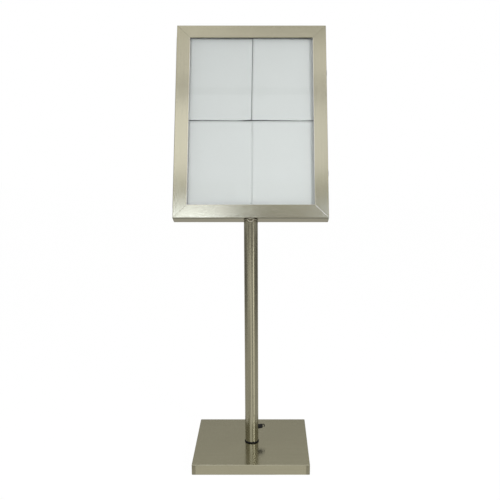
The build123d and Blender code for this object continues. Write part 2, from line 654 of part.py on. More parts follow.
with BuildPart() as case_wall_top:
    add(wall_blanks["top"])
    with BuildSketch(behind_face(CASE_BACK)):
        with Locations(*cover_screw_places):
            Circle(COVER_SCREW_RADIUS + THREAD_CLEARANCE)
    extrude(amount=FRAME_SHEET, mode=Mode.SUBTRACT)
write(case_wall_top, "case_wall_top")

with BuildPart() as case_wall_left:
    add(wall_blanks["left"])
    with BuildSketch(HINGE_PLANE.offset(-KNUCKLE_RELIEF)):
        Circle(KNUCKLE_RADIUS + KNUCKLE_RELIEF)
    extrude(amount=HINGE_LENGTH + 2 * KNUCKLE_RELIEF, mode=Mode.SUBTRACT)
    with BuildSketch(behind_face(CASE_BACK)):
        with Locations(*cover_screw_places):
            Circle(COVER_SCREW_RADIUS + THREAD_CLEARANCE)
    extrude(amount=FRAME_SHEET, mode=Mode.SUBTRACT)
write(case_wall_left, "case_wall_left")

with BuildPart() as case_wall_right:
    add(wall_blanks["right"])
    with BuildSketch(WALL_PLANE):
        with Locations(*lock_places):
            Circle(LOCK_BARREL_RADIUS + LOCK_HOLE_CLEARANCE)
    extrude(amount=-FRAME_SHEET, mode=Mode.SUBTRACT)
    with BuildSketch(behind_face(CASE_FRONT)):
        with Locations(*hook_slot_places):
            Rectangle(hook_slot_width, hook_slot_high - hook_slot_low)
    extrude(amount=-FRAME_SHEET, mode=Mode.SUBTRACT)
    with BuildSketch(behind_face(CASE_BACK)):
        with Locations(*cover_screw_places):
            Circle(COVER_SCREW_RADIUS + THREAD_CLEARANCE)
    extrude(amount=FRAME_SHEET, mode=Mode.SUBTRACT)
write(case_wall_right, "case_wall_right")

with BuildPart() as back_cover:
    with BuildSketch(behind_face(CASE_BACK)):
        with Locations((0, DISPLAY_HEIGHT / 2)):
            RectangleRounded(DISPLAY_WIDTH, DISPLAY_HEIGHT, FRAME_FOLD_RADIUS)
        with Locations(*cover_screw_places):
            Circle(COVER_SCREW_RADIUS + BOLT_HOLE_CLEARANCE, mode=Mode.SUBTRACT)
    extrude(amount=-BACK_SHEET)
write(back_cover, "back_cover")

with BuildPart() as back_cover_screws:
    with BuildSketch(behind_face(DISPLAY_DEPTH)):
        with Locations(*cover_screw_places):
            Circle(COVER_SCREW_HEAD_RADIUS)
    extrude(amount=-COVER_SCREW_HEAD_HEIGHT)
    screw_crowns = back_cover_screws.faces().group_by(Axis((0, 0, 0), OUT * -1))[-1]
    fillet(screw_crowns.edges(), COVER_SCREW_HEAD_HEIGHT / 2)
    with BuildSketch(behind_face(DISPLAY_DEPTH)):
        with Locations(*cover_screw_places):
            Circle(COVER_SCREW_RADIUS)
    extrude(amount=COVER_SCREW_REACH)
    with BuildSketch(behind_face(DISPLAY_DEPTH + COVER_SCREW_HEAD_HEIGHT)):
        with Locations(*cover_screw_places):
            Rectangle(*CROSS_RECESS)
            Rectangle(*CROSS_RECESS, rotation=90)
    extrude(amount=CROSS_RECESS_DEPTH, mode=Mode.SUBTRACT)
write(back_cover_screws, "back_cover_screws")

# Board that the sheets lie on, its standoffs and countersunk screws
board_back = BOARD_FRONT + BOARD_SHEET
board_half_width = HALF_WIDTH - BOARD_SIDE_MARGIN
board_half_height = DISPLAY_HEIGHT / 2 - BOARD_END_MARGIN
standoff_across = board_half_width - STANDOFF_CORNER[0]
standoff_up = board_half_height - STANDOFF_CORNER[1]
standoff_places = [
    (s * standoff_across, DISPLAY_HEIGHT / 2 + n * standoff_up) for s in (-1, 1) for n in (-1, 0, 1)
]
led_outer = board_half_width - LED_CHANNEL_INSET
led_inner = led_outer - LED_CHANNEL_WIDTH
led_face = led_outer - LED_CHANNEL_SHEET - LED_STRIP_THICKNESS
led_front = BOARD_FRONT - LED_CHANNEL_HEIGHT
led_length = DISPLAY_HEIGHT - 2 * LED_END_MARGIN
led_middle = led_front + LED_STRIP_DROP + LED_STRIP_WIDTH / 2
driver_top = DRIVER_BOTTOM + DRIVER_SIZE[1]
chip_count = int(led_length // LED_CHIP_PITCH)
chip_start = LED_END_MARGIN + (led_length - (chip_count - 1) * LED_CHIP_PITCH) / 2
lead_height = chip_start + (LEAD_AFTER_CHIPS - 0.5) * LED_CHIP_PITCH
lead_across = (led_inner + led_face) / 2
lead_hole = LEAD_RADIUS + LEAD_HOLE_CLEARANCE
lead_hole_places = [(s * lead_across, lead_height) for s in (-1, 1)]
board_screw_head = BOARD_SCREW_RADIUS + BOARD_SHEET

with BuildPart() as backing_board:
    with BuildSketch(behind_face(BOARD_FRONT)):
        with Locations((0, DISPLAY_HEIGHT / 2)):
            Rectangle(2 * board_half_width, 2 * board_half_height)
        with Locations(*lead_hole_places):
            Circle(lead_hole, mode=Mode.SUBTRACT)
    extrude(amount=-BOARD_SHEET)
    with BuildSketch(behind_face(BOARD_FRONT)):
        with Locations(*standoff_places):
            Circle(board_screw_head + SEAT_CLEARANCE)
    extrude(amount=-BOARD_SHEET, taper=45, mode=Mode.SUBTRACT)
write(backing_board, "backing_board")

with BuildPart() as board_standoffs:
    with BuildSketch(behind_face(board_back)):
        with Locations(*standoff_places):
            RegularPolygon(STANDOFF_RADIUS, 6, major_radius=False)
    extrude(amount=-(CASE_BACK - board_back))
    with BuildSketch(behind_face(board_back)):
        with Locations(*standoff_places):
            Circle(BOARD_SCREW_RADIUS + THREAD_CLEARANCE)
    extrude(amount=-(BOARD_SCREW_REACH + THREAD_CLEARANCE), mode=Mode.SUBTRACT)
write(board_standoffs, "board_standoffs")

with BuildPart() as board_screws:
    with BuildSketch(behind_face(BOARD_FRONT)):
        with Locations(*standoff_places):
            Circle(board_screw_head)
    extrude(amount=-BOARD_SHEET, taper=45)
    with BuildSketch(behind_face(BOARD_FRONT)):
        with Locations(*standoff_places):
            Circle(BOARD_SCREW_RADIUS)
    extrude(amount=-(BOARD_SHEET + BOARD_SCREW_REACH))
    with BuildSketch(behind_face(BOARD_FRONT)):
        with Locations(*standoff_places):
            Rectangle(*CROSS_RECESS)
            Rectangle(*CROSS_RECESS, rotation=90)
    extrude(amount=-CROSS_RECESS_DEPTH, mode=Mode.SUBTRACT)
write(board_screws, "board_screws")

# Four paper sheets, laid by hand and so a little askew
sheet_gap_height = DISPLAY_HEIGHT / 2 + SHEETS_RISE
sheet_layout = {
    "sheet_upper_left": (-1, 1, -0.65, 0.0),
    "sheet_upper_right": (1, 1, -0.8, 0.05),
    "sheet_lower_left": (-1, -1, 0.0, 0.6),
    "sheet_lower_right": (1, -1, -0.08, -0.6),
}
for sheet_name, (column, row, turn, nudge) in sheet_layout.items():
    with BuildPart() as sheet:
        with BuildSketch(behind_face(BOARD_FRONT)):
            with Locations(
                (
                    SHEET_GAP_MIDDLE + nudge + column * (SHEET_WIDTH + SHEET_COLUMN_GAP) / 2,
                    sheet_gap_height + row * (SHEET_LENGTH + SHEET_ROW_GAP) / 2,
                )
            ):
                Rectangle(SHEET_WIDTH, SHEET_LENGTH, rotation=turn)
        extrude(amount=SHEET_THICKNESS)
    write(sheet, sheet_name)

# Lighting: an angle channel with a strip of diodes down each side, the driver and its leads
for side, s in (("left", -1), ("right", 1)):
    with BuildPart() as led_channel:
        with BuildSketch(level(LED_END_MARGIN)):
            with Locations((s * (led_inner + led_outer) / 2, BOARD_FRONT - LED_CHANNEL_SHEET / 2)):
                Rectangle(LED_CHANNEL_WIDTH, LED_CHANNEL_SHEET)
            with Locations((s * (led_outer - LED_CHANNEL_SHEET / 2), (BOARD_FRONT + led_front) / 2)):
                Rectangle(LED_CHANNEL_SHEET, LED_CHANNEL_HEIGHT)
        extrude(amount=led_length)
        with BuildSketch(behind_face(BOARD_FRONT)):
            with Locations(*lead_hole_places):
                Circle(lead_hole)
        extrude(amount=LED_CHANNEL_SHEET, mode=Mode.SUBTRACT)
    write(led_channel, f"led_channel_{side}")

    with BuildPart() as led_strip:
        with BuildSketch(level(LED_END_MARGIN)):
            with Locations((s * (led_face + LED_STRIP_THICKNESS / 2), led_middle)):
                Rectangle(LED_STRIP_THICKNESS, LED_STRIP_WIDTH)
        extrude(amount=led_length)
    write(led_strip, f"led_strip_{side}")

with BuildPart(FACE) as led_chips:
    with Locations(
        *[
            (s * (led_face - LED_CHIP[0] / 2), chip_start + n * LED_CHIP_PITCH, -led_middle)
            for s in (-1, 1)
            for n in range(chip_count)
        ]
    ):
        Box(*LED_CHIP)
write(led_chips, "led_chips")

with BuildPart() as led_driver:
    with BuildSketch(behind_face(board_back)):
        with Locations((0, DRIVER_BOTTOM + DRIVER_SIZE[1] / 2)):
            Rectangle(DRIVER_SIZE[0], DRIVER_SIZE[1])
    extrude(amount=-DRIVER_SIZE[2])
    fillet(led_driver.edges().filter_by(Axis((0, 0, 0), OUT)), DRIVER_EDGE_RADIUS)
write(led_driver, "led_driver")

with BuildPart() as led_leads:
    for s in (-1, 1):
        with BuildLine() as lead_line:
            FilletPolyline(
                on_face(s * LEAD_SPREAD / 2, driver_top, CABLE_DEPTH),
                on_face(s * LEAD_SPREAD / 2, lead_height, CABLE_DEPTH),
                on_face(s * lead_across, lead_height, CABLE_DEPTH),
                on_face(s * lead_across, lead_height, led_middle),
                on_face(s * led_face, lead_height, led_middle),
                radius=LEAD_BENDS,
            )
        with BuildSketch(Plane(lead_line.line @ 0, z_dir=lead_line.line % 0)):
            Circle(LEAD_RADIUS)
        sweep(path=lead_line.line)
write(led_leads, "led_leads")

# Door: four mitred folded rails, with slots for the hooks and room for the hinge knuckles
door_strips = [
    (0, RAIL_WIDTH, 0, FRAME_SHEET),
    (0, FRAME_SHEET, 0, DOOR_DEPTH),
    (0, DOOR_FLANGE, DOOR_DEPTH - FRAME_SHEET, DOOR_DEPTH),
    (RAIL_WIDTH - FRAME_SHEET, RAIL_WIDTH, 0, LIP_DEPTH),
]
door_corners = [(0, 0), (RAIL_WIDTH, 0), (0, DOOR_DEPTH)]
rail_blanks = {side: mitred_member(side, door_strips, door_corners) for side in ("bottom", "top", "right")}
door_fold = DOOR_DEPTH - FRAME_SHEET
door_hinge_strips = door_strips + [(0, HINGE_BAR[0], door_fold - HINGE_BAR[1], door_fold)]
rail_blanks["left"] = mitred_member("left", door_hinge_strips, door_corners)

with BuildPart() as door_rail_top:
    add(rail_blanks["top"])
write(door_rail_top, "door_rail_top")

with BuildPart() as door_rail_bottom:
    add(rail_blanks["bottom"])
write(door_rail_bottom, "door_rail_bottom")

with BuildPart() as door_stile_left:
    add(rail_blanks["left"])
    with BuildSketch(HINGE_PLANE.offset(-KNUCKLE_RELIEF)):
        Circle(KNUCKLE_RADIUS + KNUCKLE_RELIEF)
    extrude(amount=HINGE_LENGTH + 2 * KNUCKLE_RELIEF, mode=Mode.SUBTRACT)
write(door_stile_left, "door_stile_left")

with BuildPart() as door_stile_right:
    add(rail_blanks["right"])
    with BuildSketch(behind_face(DOOR_DEPTH)):
        with Locations(*[(hook_across, h + (hook_arm_low + hook_arm_high) / 2) for h in LOCK_HEIGHTS]):
            Rectangle(HOOK_SHEET + 2 * PLUG_CLEARANCE, HOOK_ARM_WIDTH + 2 * PLUG_CLEARANCE)
    extrude(amount=FRAME_SHEET, mode=Mode.SUBTRACT)
write(door_stile_right, "door_stile_right")

# Glazing: black gasket behind the lip, pane, retaining beads and their welded studs
window_width = DISPLAY_WIDTH - 2 * RAIL_WIDTH
window_height = DISPLAY_HEIGHT - 2 * RAIL_WIDTH
glass_front = LIP_DEPTH + GASKET_THICKNESS
glass_back = glass_front + GLASS_THICKNESS
bead_inner = RAIL_WIDTH - GLASS_OVERLAP + BEAD_TONGUE - BEAD_SHEET
bead_outer = RAIL_WIDTH - GLASS_OVERLAP - BEAD_SHEET - BEAD_FOOT
bead_seat = RAIL_WIDTH - GLASS_OVERLAP - BEAD_SHEET
bead_back = glass_back + BEAD_SHEET
bead_strips = [
    (bead_outer, bead_seat, FRAME_SHEET, bead_back),
    (bead_outer, bead_inner, glass_back, bead_back),
]

with BuildPart() as glazing_gasket:
    with BuildSketch(behind_face(LIP_DEPTH)):
        with Locations((0, DISPLAY_HEIGHT / 2)):
            Rectangle(window_width + 2 * GLASS_OVERLAP, window_height + 2 * GLASS_OVERLAP)
            Rectangle(window_width - 2 * GASKET_SHOW, window_height - 2 * GASKET_SHOW, mode=Mode.SUBTRACT)
    extrude(amount=-GASKET_THICKNESS)
write(glazing_gasket, "glazing_gasket")

with BuildPart() as glass_pane:
    with BuildSketch(behind_face(glass_front)):
        with Locations((0, DISPLAY_HEIGHT / 2)):
            Rectangle(window_width + 2 * GLASS_OVERLAP, window_height + 2 * GLASS_OVERLAP)
    extrude(amount=-GLASS_THICKNESS)
write(glass_pane, "glass_pane")

stud_inset = (bead_outer + bead_seat) / 2
stud_up_pitch = (DISPLAY_HEIGHT - 2 * STUD_CORNER) / (STUDS_UP - 1)
stud_across_pitch = (DISPLAY_WIDTH - 2 * STUD_CORNER) / (STUDS_ACROSS - 1)
stud_places = [
    (s * (HALF_WIDTH - stud_inset), STUD_CORNER + n * stud_up_pitch)
    for s in (-1, 1)
    for n in range(STUDS_UP)
]
stud_places += [
    (n * stud_across_pitch - HALF_WIDTH + STUD_CORNER, up)
    for up in (stud_inset, DISPLAY_HEIGHT - stud_inset)
    for n in range(STUDS_ACROSS)
]

bead_blanks = [mitred_member(side, bead_strips, mitre_gap=BEAD_MITRE_GAP) for side in SIDES]

with BuildPart() as glazing_beads:
    add(bead_blanks)
    with BuildSketch(behind_face(FRAME_SHEET)):
        with Locations(*stud_places):
            Circle(STUD_RADIUS + THREAD_CLEARANCE)
    extrude(amount=-DOOR_DEPTH, mode=Mode.SUBTRACT)
write(glazing_beads, "glazing_beads")

with BuildPart() as bead_studs:
    with BuildSketch(behind_face(bead_back)):
        with Locations(*stud_places):
            RegularPolygon(STUD_NUT_FLATS / 2, 6, major_radius=False)
    extrude(amount=-STUD_NUT_HEIGHT)
    with BuildSketch(behind_face(FRAME_SHEET)):
        with Locations(*stud_places):
            Circle(STUD_RADIUS)
    extrude(amount=-(bead_back - FRAME_SHEET))
write(bead_studs, "bead_studs")

# Hinge: two leaves with interleaved knuckles on one long pin
leaf_root = KNUCKLE_RADIUS + 2 * KNUCKLE_RELIEF


def hinge_leaf(first_knuckle, side):
    """Leaf on the case (side 1, behind the pin) or on the door (side -1, in front of it)."""
    middle = side * (DOOR_GAP / 2 - LEAF_THICKNESS / 2)
    with BuildPart() as leaf:
        with BuildSketch(HINGE_PLANE):
            with Locations(((leaf_root + LEAF_WIDTH) / 2, middle)):
                Rectangle(LEAF_WIDTH - leaf_root, LEAF_THICKNESS)
        extrude(amount=HINGE_LENGTH)
        for n in range(first_knuckle, KNUCKLES, 2):
            with BuildSketch(HINGE_PLANE.offset(n * knuckle_pitch + KNUCKLE_PLAY / 2)):
                Circle(KNUCKLE_RADIUS)
                with Locations((leaf_root / 2, middle)):
                    Rectangle(leaf_root, LEAF_THICKNESS)
            extrude(amount=knuckle_pitch - KNUCKLE_PLAY)
        with BuildSketch(HINGE_PLANE):
            Circle(HINGE_PIN_RADIUS + HINGE_PIN_CLEARANCE)
        extrude(amount=HINGE_LENGTH, mode=Mode.SUBTRACT)
    return leaf


write(hinge_leaf(0, 1), "hinge_case_leaf")
write(hinge_leaf(1, -1), "hinge_door_leaf")

with BuildPart() as hinge_pin:
    with BuildSketch(HINGE_PLANE):
        Circle(HINGE_PIN_RADIUS)
    extrude(amount=HINGE_LENGTH)
write(hinge_pin, "hinge_pin")

# Seal on the case's front flange, set inside the hinge leaf on the left
seal_left = LEAF_WIDTH + HINGE_EDGE + SEAT_CLEARANCE
seal_outer_width = DISPLAY_WIDTH - seal_left - SEAL_EDGE
seal_outer_height = DISPLAY_HEIGHT - 2 * SEAL_EDGE
seal_inner_width = seal_outer_width - 2 * SEAL_WIDTH
seal_inner_height = seal_outer_height - 2 * SEAL_WIDTH

with BuildPart() as door_seal:
    with BuildSketch(behind_face(CASE_FRONT)):
        with Locations(((seal_left - SEAL_EDGE) / 2, DISPLAY_HEIGHT / 2)):
            Rectangle(seal_outer_width, seal_outer_height)
            Rectangle(seal_inner_width, seal_inner_height, mode=Mode.SUBTRACT)
    extrude(amount=DOOR_GAP)
write(door_seal, "door_seal")

# Door hooks: a foot inside the right stile, an arm through the slots and a lip behind the cam
with BuildPart(FACE) as door_hooks:
    for h in LOCK_HEIGHTS:
        arm_middle = h + (hook_arm_low + hook_arm_high) / 2
        lip_middle = h + (hook_lip_low + hook_arm_high) / 2
        with Locations((hook_across, arm_middle, -(door_fold - HOOK_FOOT[2] / 2))):
            Box(*HOOK_FOOT)
        with Locations((hook_across, arm_middle, -(door_fold + hook_lip_back) / 2)):
            Box(HOOK_SHEET, HOOK_ARM_WIDTH, hook_lip_back - door_fold)
        with Locations((hook_across, lip_middle, -(hook_lip_front + hook_lip_back) / 2)):
            Box(HOOK_SHEET, hook_arm_high - hook_lip_low, HOOK_LIP)
write(door_hooks, "door_hooks")

# Cam locks: barrels and nuts fixed in the right wall, turning plugs and cams
plug_bore = LOCK_PLUG_RADIUS + LOCK_PLUG_CLEARANCE

with BuildPart() as lock_barrels:
    with BuildSketch(WALL_PLANE):
        with Locations(*lock_places):
            Circle(LOCK_HEAD_RADIUS)
    extrude(amount=LOCK_HEAD_THICKNESS)
    fillet(lock_barrels.faces().group_by(Axis.X)[-1].edges(), LOCK_HEAD_THICKNESS / 3)
    with BuildSketch(WALL_PLANE):
        with Locations(*lock_places):
            Circle(LOCK_BARREL_RADIUS)
    extrude(amount=-barrel_end)
    with BuildSketch(WALL_PLANE.offset(-barrel_end)):
        with Locations(*lock_places):
            Circle(plug_bore)
    extrude(amount=barrel_end + LOCK_HEAD_THICKNESS, mode=Mode.SUBTRACT)
write(lock_barrels, "lock_barrels")

with BuildPart() as lock_nuts:
    with BuildSketch(WALL_PLANE.offset(-FRAME_SHEET)):
        with Locations(*lock_places):
            RegularPolygon(LOCK_NUT_FLATS / 2, 6, major_radius=False)
            Circle(LOCK_BARREL_RADIUS + THREAD_CLEARANCE, mode=Mode.SUBTRACT)
    extrude(amount=-LOCK_NUT_THICKNESS)
write(lock_nuts, "lock_nuts")

plug_face = LOCK_HEAD_THICKNESS - LOCK_PLUG_SET_BACK

for lock_name, place in zip(("lower", "upper"), lock_places):
    with BuildPart() as lock_plug:
        with BuildSketch(WALL_PLANE.offset(plug_face)):
            with Locations(place):
                Circle(LOCK_PLUG_RADIUS)
        extrude(amount=-(plug_face + cam_from))
        with BuildSketch(WALL_PLANE.offset(plug_face)):
            with Locations(place):
                Rectangle(KEYWAY[1], KEYWAY[0])
        extrude(amount=-KEYWAY[2], mode=Mode.SUBTRACT)
        with BuildSketch(WALL_PLANE.offset(-cam_from)):
            with Locations(place):
                Rectangle(LOCK_TAIL, LOCK_TAIL)
        extrude(amount=-CAM_SHEET)
        with BuildSketch(WALL_PLANE.offset(-cam_to)):
            with Locations(place):
                Circle(LOCK_RIVET_RADIUS)
        extrude(amount=-LOCK_RIVET_THICKNESS)
    write(lock_plug, f"lock_plug_{lock_name}")

    with BuildPart() as lock_cam:
        with BuildSketch(WALL_PLANE.offset(-cam_from)):
            with Locations((place[0], place[1] + (CAM_REACH - CAM_HEEL) / 2)):
                Rectangle(2 * CAM_HALF_WIDTH, CAM_REACH + CAM_HEEL)
            with Locations(place):
                Circle(CAM_HEEL)
                Rectangle(
                    LOCK_TAIL + 2 * LOCK_TAIL_CLEARANCE,
                    LOCK_TAIL + 2 * LOCK_TAIL_CLEARANCE,
                    mode=Mode.SUBTRACT,
                )
        extrude(amount=-CAM_SHEET)
    write(lock_cam, f"lock_cam_{lock_name}")
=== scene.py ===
import math

import bpy
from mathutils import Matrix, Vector


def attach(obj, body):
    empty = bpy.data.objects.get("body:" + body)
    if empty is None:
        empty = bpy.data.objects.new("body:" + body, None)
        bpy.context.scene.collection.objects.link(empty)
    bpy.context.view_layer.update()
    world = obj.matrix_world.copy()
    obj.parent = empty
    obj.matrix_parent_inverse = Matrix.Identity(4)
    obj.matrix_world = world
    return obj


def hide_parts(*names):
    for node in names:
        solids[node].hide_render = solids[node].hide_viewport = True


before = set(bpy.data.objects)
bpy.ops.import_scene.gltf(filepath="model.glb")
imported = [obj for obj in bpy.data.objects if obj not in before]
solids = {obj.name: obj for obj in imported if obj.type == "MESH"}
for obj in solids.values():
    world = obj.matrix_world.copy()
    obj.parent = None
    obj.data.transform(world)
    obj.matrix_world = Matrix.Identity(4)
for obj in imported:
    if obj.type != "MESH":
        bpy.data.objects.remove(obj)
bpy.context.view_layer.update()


# Base mat: the black rubber that the base stands on, so that it neither slips
# nor scratches a floor. It is cut from moulded sheet and glued on.
class Field:
    """A number, colour or direction that varies over a surface: one output of a node."""

    def __init__(self, tree, output=None):
        self.tree = tree
        self.output = output

    def node(self, kind, settings, sockets, output=0):
        """A new node with its settings set and its sockets filled or linked; gives one output."""
        made = self.tree.nodes.new("ShaderNode" + kind)
        for name, value in settings.items():
            setattr(made, name, value)
        for name, value in sockets.items():
            if isinstance(value, Field):
                self.tree.links.new(value.output, made.inputs[name])
            else:
                made.inputs[name].default_value = value
        return Field(self.tree, made.outputs[output])

    def maths(self, operation, first, second=0.0):
        return self.node("Math", {"operation": operation}, {0: first, 1: second})

    def __add__(self, other):
        return self.maths("ADD", self, other)

    def __sub__(self, other):
        return self.maths("SUBTRACT", self, other)

    def __rsub__(self, other):
        return self.maths("SUBTRACT", other, self)

    def __mul__(self, other):
        return self.maths("MULTIPLY", self, other)

    def __mod__(self, other):
        return self.maths("FLOORED_MODULO", self, other)

    def __lt__(self, other):
        return self.maths("LESS_THAN", self, other)

    def __abs__(self):
        return self.maths("ABSOLUTE", self)

    __radd__ = __add__
    __rmul__ = __mul__

    def along(self, direction):
        """How far this place lies along a direction."""
        return self.node("VectorMath", {"operation": "DOT_PRODUCT"}, {0: self, 1: direction}, "Value")

    def rise(self, low, high):
        """A soft step: 0 below low, 1 above high."""
        limits = {"Value": self, "From Min": low, "From Max": high}
        return self.node("MapRange", {"interpolation_type": "SMOOTHSTEP"}, limits)

    def blend(self, first, second):
        """The first colour where this is 0, the second where it is 1."""
        colours = {6: first, 7: second}  # a Mix node's colour sockets; its colour output is 2
        whole = {i: c if isinstance(c, Field) else (*c, 1.0) for i, c in colours.items()}
        return self.node("Mix", {"data_type": "RGBA"}, {0: self, **whole}, 2)

    def relief(self, height):
        """Bumps as high as this, in metres, for a shader's Normal."""
        return self.node("Bump", {}, {"Strength": 1.0, "Distance": height, "Height": self})


def surface(tree):
    """The place on a surface, in metres from the middle of the base on the floor."""
    return Field(tree).node("TexCoord", {}, {}, "Object")


def mottle(place, per_metre, detail=2.0):
    """Cloudy variation between 0 and 1, with that many patches in a metre."""
    return place.node("TexNoise", {}, {"Vector": place, "Scale": per_metre, "Detail": detail})


def finish(name, paint, **constants):
    """A material: paint gives what varies over the surface, constants stay as they are."""
    material = bpy.data.materials.new(name)
    material.use_nodes = True
    tree = material.node_tree
    shader = tree.nodes["Principled BSDF"]
    for socket, value in constants.items():
        shader.inputs[socket.replace("_", " ")].default_value = value
    for socket, field in paint(surface(tree)).items():
        tree.links.new(field.output, shader.inputs[socket])
    return material


def dress(material, *names):
    """Puts a material on solids that stay as they are."""
    for name in names:
        solids[name].data.materials.clear()
        solids[name].data.materials.append(material)


def moulded_rubber(place):
    bloom = mottle(place, 45.0, 4.0)
    pores = mottle(place, 1800.0)
    return {
        "Base Color": bloom.blend((0.005, 0.005, 0.005), (0.016, 0.016, 0.016)),
        "Roughness": 0.48 + 0.28 * bloom,
        "Normal": pores.relief(0.00008),
    }


black_rubber = finish("black_rubber", moulded_rubber, Specular_IOR_Level=0.18)
dress(black_rubber, "base_mat")


# Ballast: the slab of cast concrete that fills the base and keeps the display
# upright. It is poured in a tray mould, so it has small air holes, darkened with painted shade.
def cast_concrete(place):
    stain = mottle(place, 14.0, 5.0)
    sand = mottle(place, 900.0, 3.0)
    holes = place.node("TexVoronoi", {}, {"Vector": place, "Scale": 160.0}).rise(0.05, 0.16)
    cement = (0.3 * stain + 0.7 * sand).blend((0.2, 0.195, 0.18), (0.4, 0.39, 0.36))
    return {
        # The pits of the air holes get painted shade.
        "Base Color": holes.blend((0.10, 0.098, 0.09), cement),
        "Roughness": 0.8 + 0.15 * sand,
        "Normal": (holes + 0.25 * sand).relief(0.0004),
    }


dress(finish("ballast", cast_concrete), "ballast_slab")


# Foot fixing: a bolt through the ballast with a wide washer, zinc plated, which
# pulls the turned plug in the tube's end down on the base.
def zinc_plate(place):
    spangle = place.node("TexVoronoi", {}, {"Vector": place, "Scale": 420.0}, "Color")
    dull = mottle(place, 300.0, 3.0)
    patch = spangle.along((0.33, 0.33, 0.33))
    return {
        "Base Color": (0.5 * patch + 0.5 * dull).blend((0.36, 0.37, 0.37), (0.52, 0.53, 0.51)),
        "Roughness": 0.26 + 0.2 * dull,
        "Normal": dull.relief(0.00003),
    }


def turned_steel(place):
    film = mottle(place, 90.0, 3.0)
    tool = place.along((0.0, 0.0, 2400.0)) + 2.0 * mottle(place, 240.0)
    marks = tool.maths("SINE", tool)
    return {
        "Base Color": film.blend((0.30, 0.29, 0.27), (0.42, 0.41, 0.38)),
        "Roughness": 0.24 + 0.16 * film,
        "Normal": marks.relief(0.00001),
    }


zinc_hardware = finish("zinc_hardware", zinc_plate, Metallic=1.0)
machined_steel = finish("machined_steel", turned_steel, Metallic=1.0)
dress(zinc_hardware, "foot_bolt", "foot_washer")
dress(machined_steel, "foot_plug")


# Base cover: one square of stainless sheet with its four edges folded down and
# the corners welded, brushed in one direction. The pole passes through it.
ACROSS, BACK, UP = (1.0, 0.0, 0.0), (0.0, 1.0, 0.0), (0.0, 0.0, 1.0)
BASE_HALF, BASE_HIGH = 0.190, 0.035
STEEL_DARK = (0.376, 0.358, 0.262)
STEEL_PALE = (0.520, 0.496, 0.365)
GRAIN_DRAWN = 0.985  # how much of the way along the grain is taken out of the pattern
GROUND_WEAR = (0.19, 0.176, 0.12)


def brushed(grain, groove, dull):
    """Paint for steel brushed along the grain: hairlines as deep as groove, broader strokes and clouds."""

    def paint(place):
        run = place.along(grain)
        back = place.node("VectorMath", {"operation": "SCALE"}, {0: grain, "Scale": -GRAIN_DRAWN * run})
        drawn = place.node("VectorMath", {"operation": "ADD"}, {0: place, 1: back})
        hairs = mottle(drawn, 2600.0)
        strokes = mottle(drawn, 210.0, 3.0)
        clouds = mottle(place, 7.0, 3.0)
        return {
            "Base Color": (0.35 * hairs + 0.35 * strokes + 0.3 * clouds).blend(STEEL_DARK, STEEL_PALE),
            "Roughness": dull + 0.05 * hairs + 0.04 * clouds,
            "Normal": (hairs + 0.15 * strokes).relief(groove),
        }

    return paint


def base_sheet(place):
    """Brushed sheet whose welded corners are ground darker and rougher, below the fold."""
    sheet = brushed(ACROSS, 0.000006, 0.12)(place)
    across, deep = abs(place.along(ACROSS)), abs(place.along(BACK))
    corner = across.maths("MINIMUM", across, deep).rise(BASE_HALF - 0.0135, BASE_HALF - 0.0115)
    ground = corner * (1 - place.along(UP).rise(BASE_HIGH - 0.0025, BASE_HIGH - 0.0005))
    sheet["Base Color"] = (0.55 * ground).blend(sheet["Base Color"], GROUND_WEAR)
    sheet["Roughness"] = sheet["Roughness"] + 0.12 * ground
    return sheet


dress(finish("base_steel", base_sheet, Metallic=1.0), "base_cover")


# Foot ring: a black rubber collar that closes the hole in the base round the pole.
# It is pushed over the tube before the base is bolted on.
dress(black_rubber, "foot_ring")


# Pole: two lengths of stainless tube, brushed lengthwise, butted on a turned sleeve
# that is inside both. Countersunk screws at the back hold the sleeve.
SLOPE = math.radians(25.0)
UP_FACE = Vector((0.0, math.sin(SLOPE), math.cos(SLOPE)))
INWARD = Vector((0.0, math.cos(SLOPE), -math.sin(SLOPE)))
FACE_FOOT = Vector((0.0, -0.02175, 0.808))
HEAT_TINT_AND_SHADE = (0.16, 0.131, 0.08)


def up_slope(place):
    """How far up the showcase's slope a place lies, from the foot of its face."""
    return place.along(UP_FACE) - UP_FACE.dot(FACE_FOOT)


def tube_wall(place):
    """Tube brushed lengthwise, tinted brown by the weld at its sloping head and darkened there with painted
    shade from the showcase above.
    """
    wall = brushed(UP, 0.000005, 0.14)(place)
    # Heat tint from the weld, together with painted shade under the showcase's overhang.
    heat_tint_and_shade = (up_slope(place) + 0.006 * mottle(place, 90.0)).rise(-0.012, -0.001)
    wall["Base Color"] = (0.75 * heat_tint_and_shade).blend(wall["Base Color"], HEAT_TINT_AND_SHADE)
    return wall


dress(finish("tube_steel", tube_wall, Metallic=1.0), "lower_tube", "upper_tube")
dress(machined_steel, "joint_sleeve")
dress(zinc_hardware, "joint_screws")


# Pole head: the tube is cut to the showcase's slope, with a tapped plug welded in at the
# edge and through a notch in front. Bolts from the case go through a plate and a gasket.
dress(machined_steel, "head_plug")
dress(zinc_hardware, "head_bolts", "case_stiffener")
dress(black_rubber, "head_gasket")

TUBE_RADIUS = 0.0225
GASKET_THICK = 0.0015
BEAD_SIDES, BEAD_BELOW = 10, 0.0012
HEAD_STEPS, PLUG_STEPS = 180, 36
PLUG_TURN, PLUG_HALF, PLUG_DROP = -math.pi / 2 - 0.03, 0.44, 0.0078


def piece(name, corners, faces, material, body):
    """A new piece from corners and faces, in its material, that moves with a body."""
    mesh = bpy.data.meshes.new(name)
    mesh.from_pydata([tuple(c) for c in corners], [], faces)
    mesh.materials.append(material)
    made = bpy.data.objects.new(name, mesh)
    bpy.context.scene.collection.objects.link(made)
    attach(made, body)
    return made


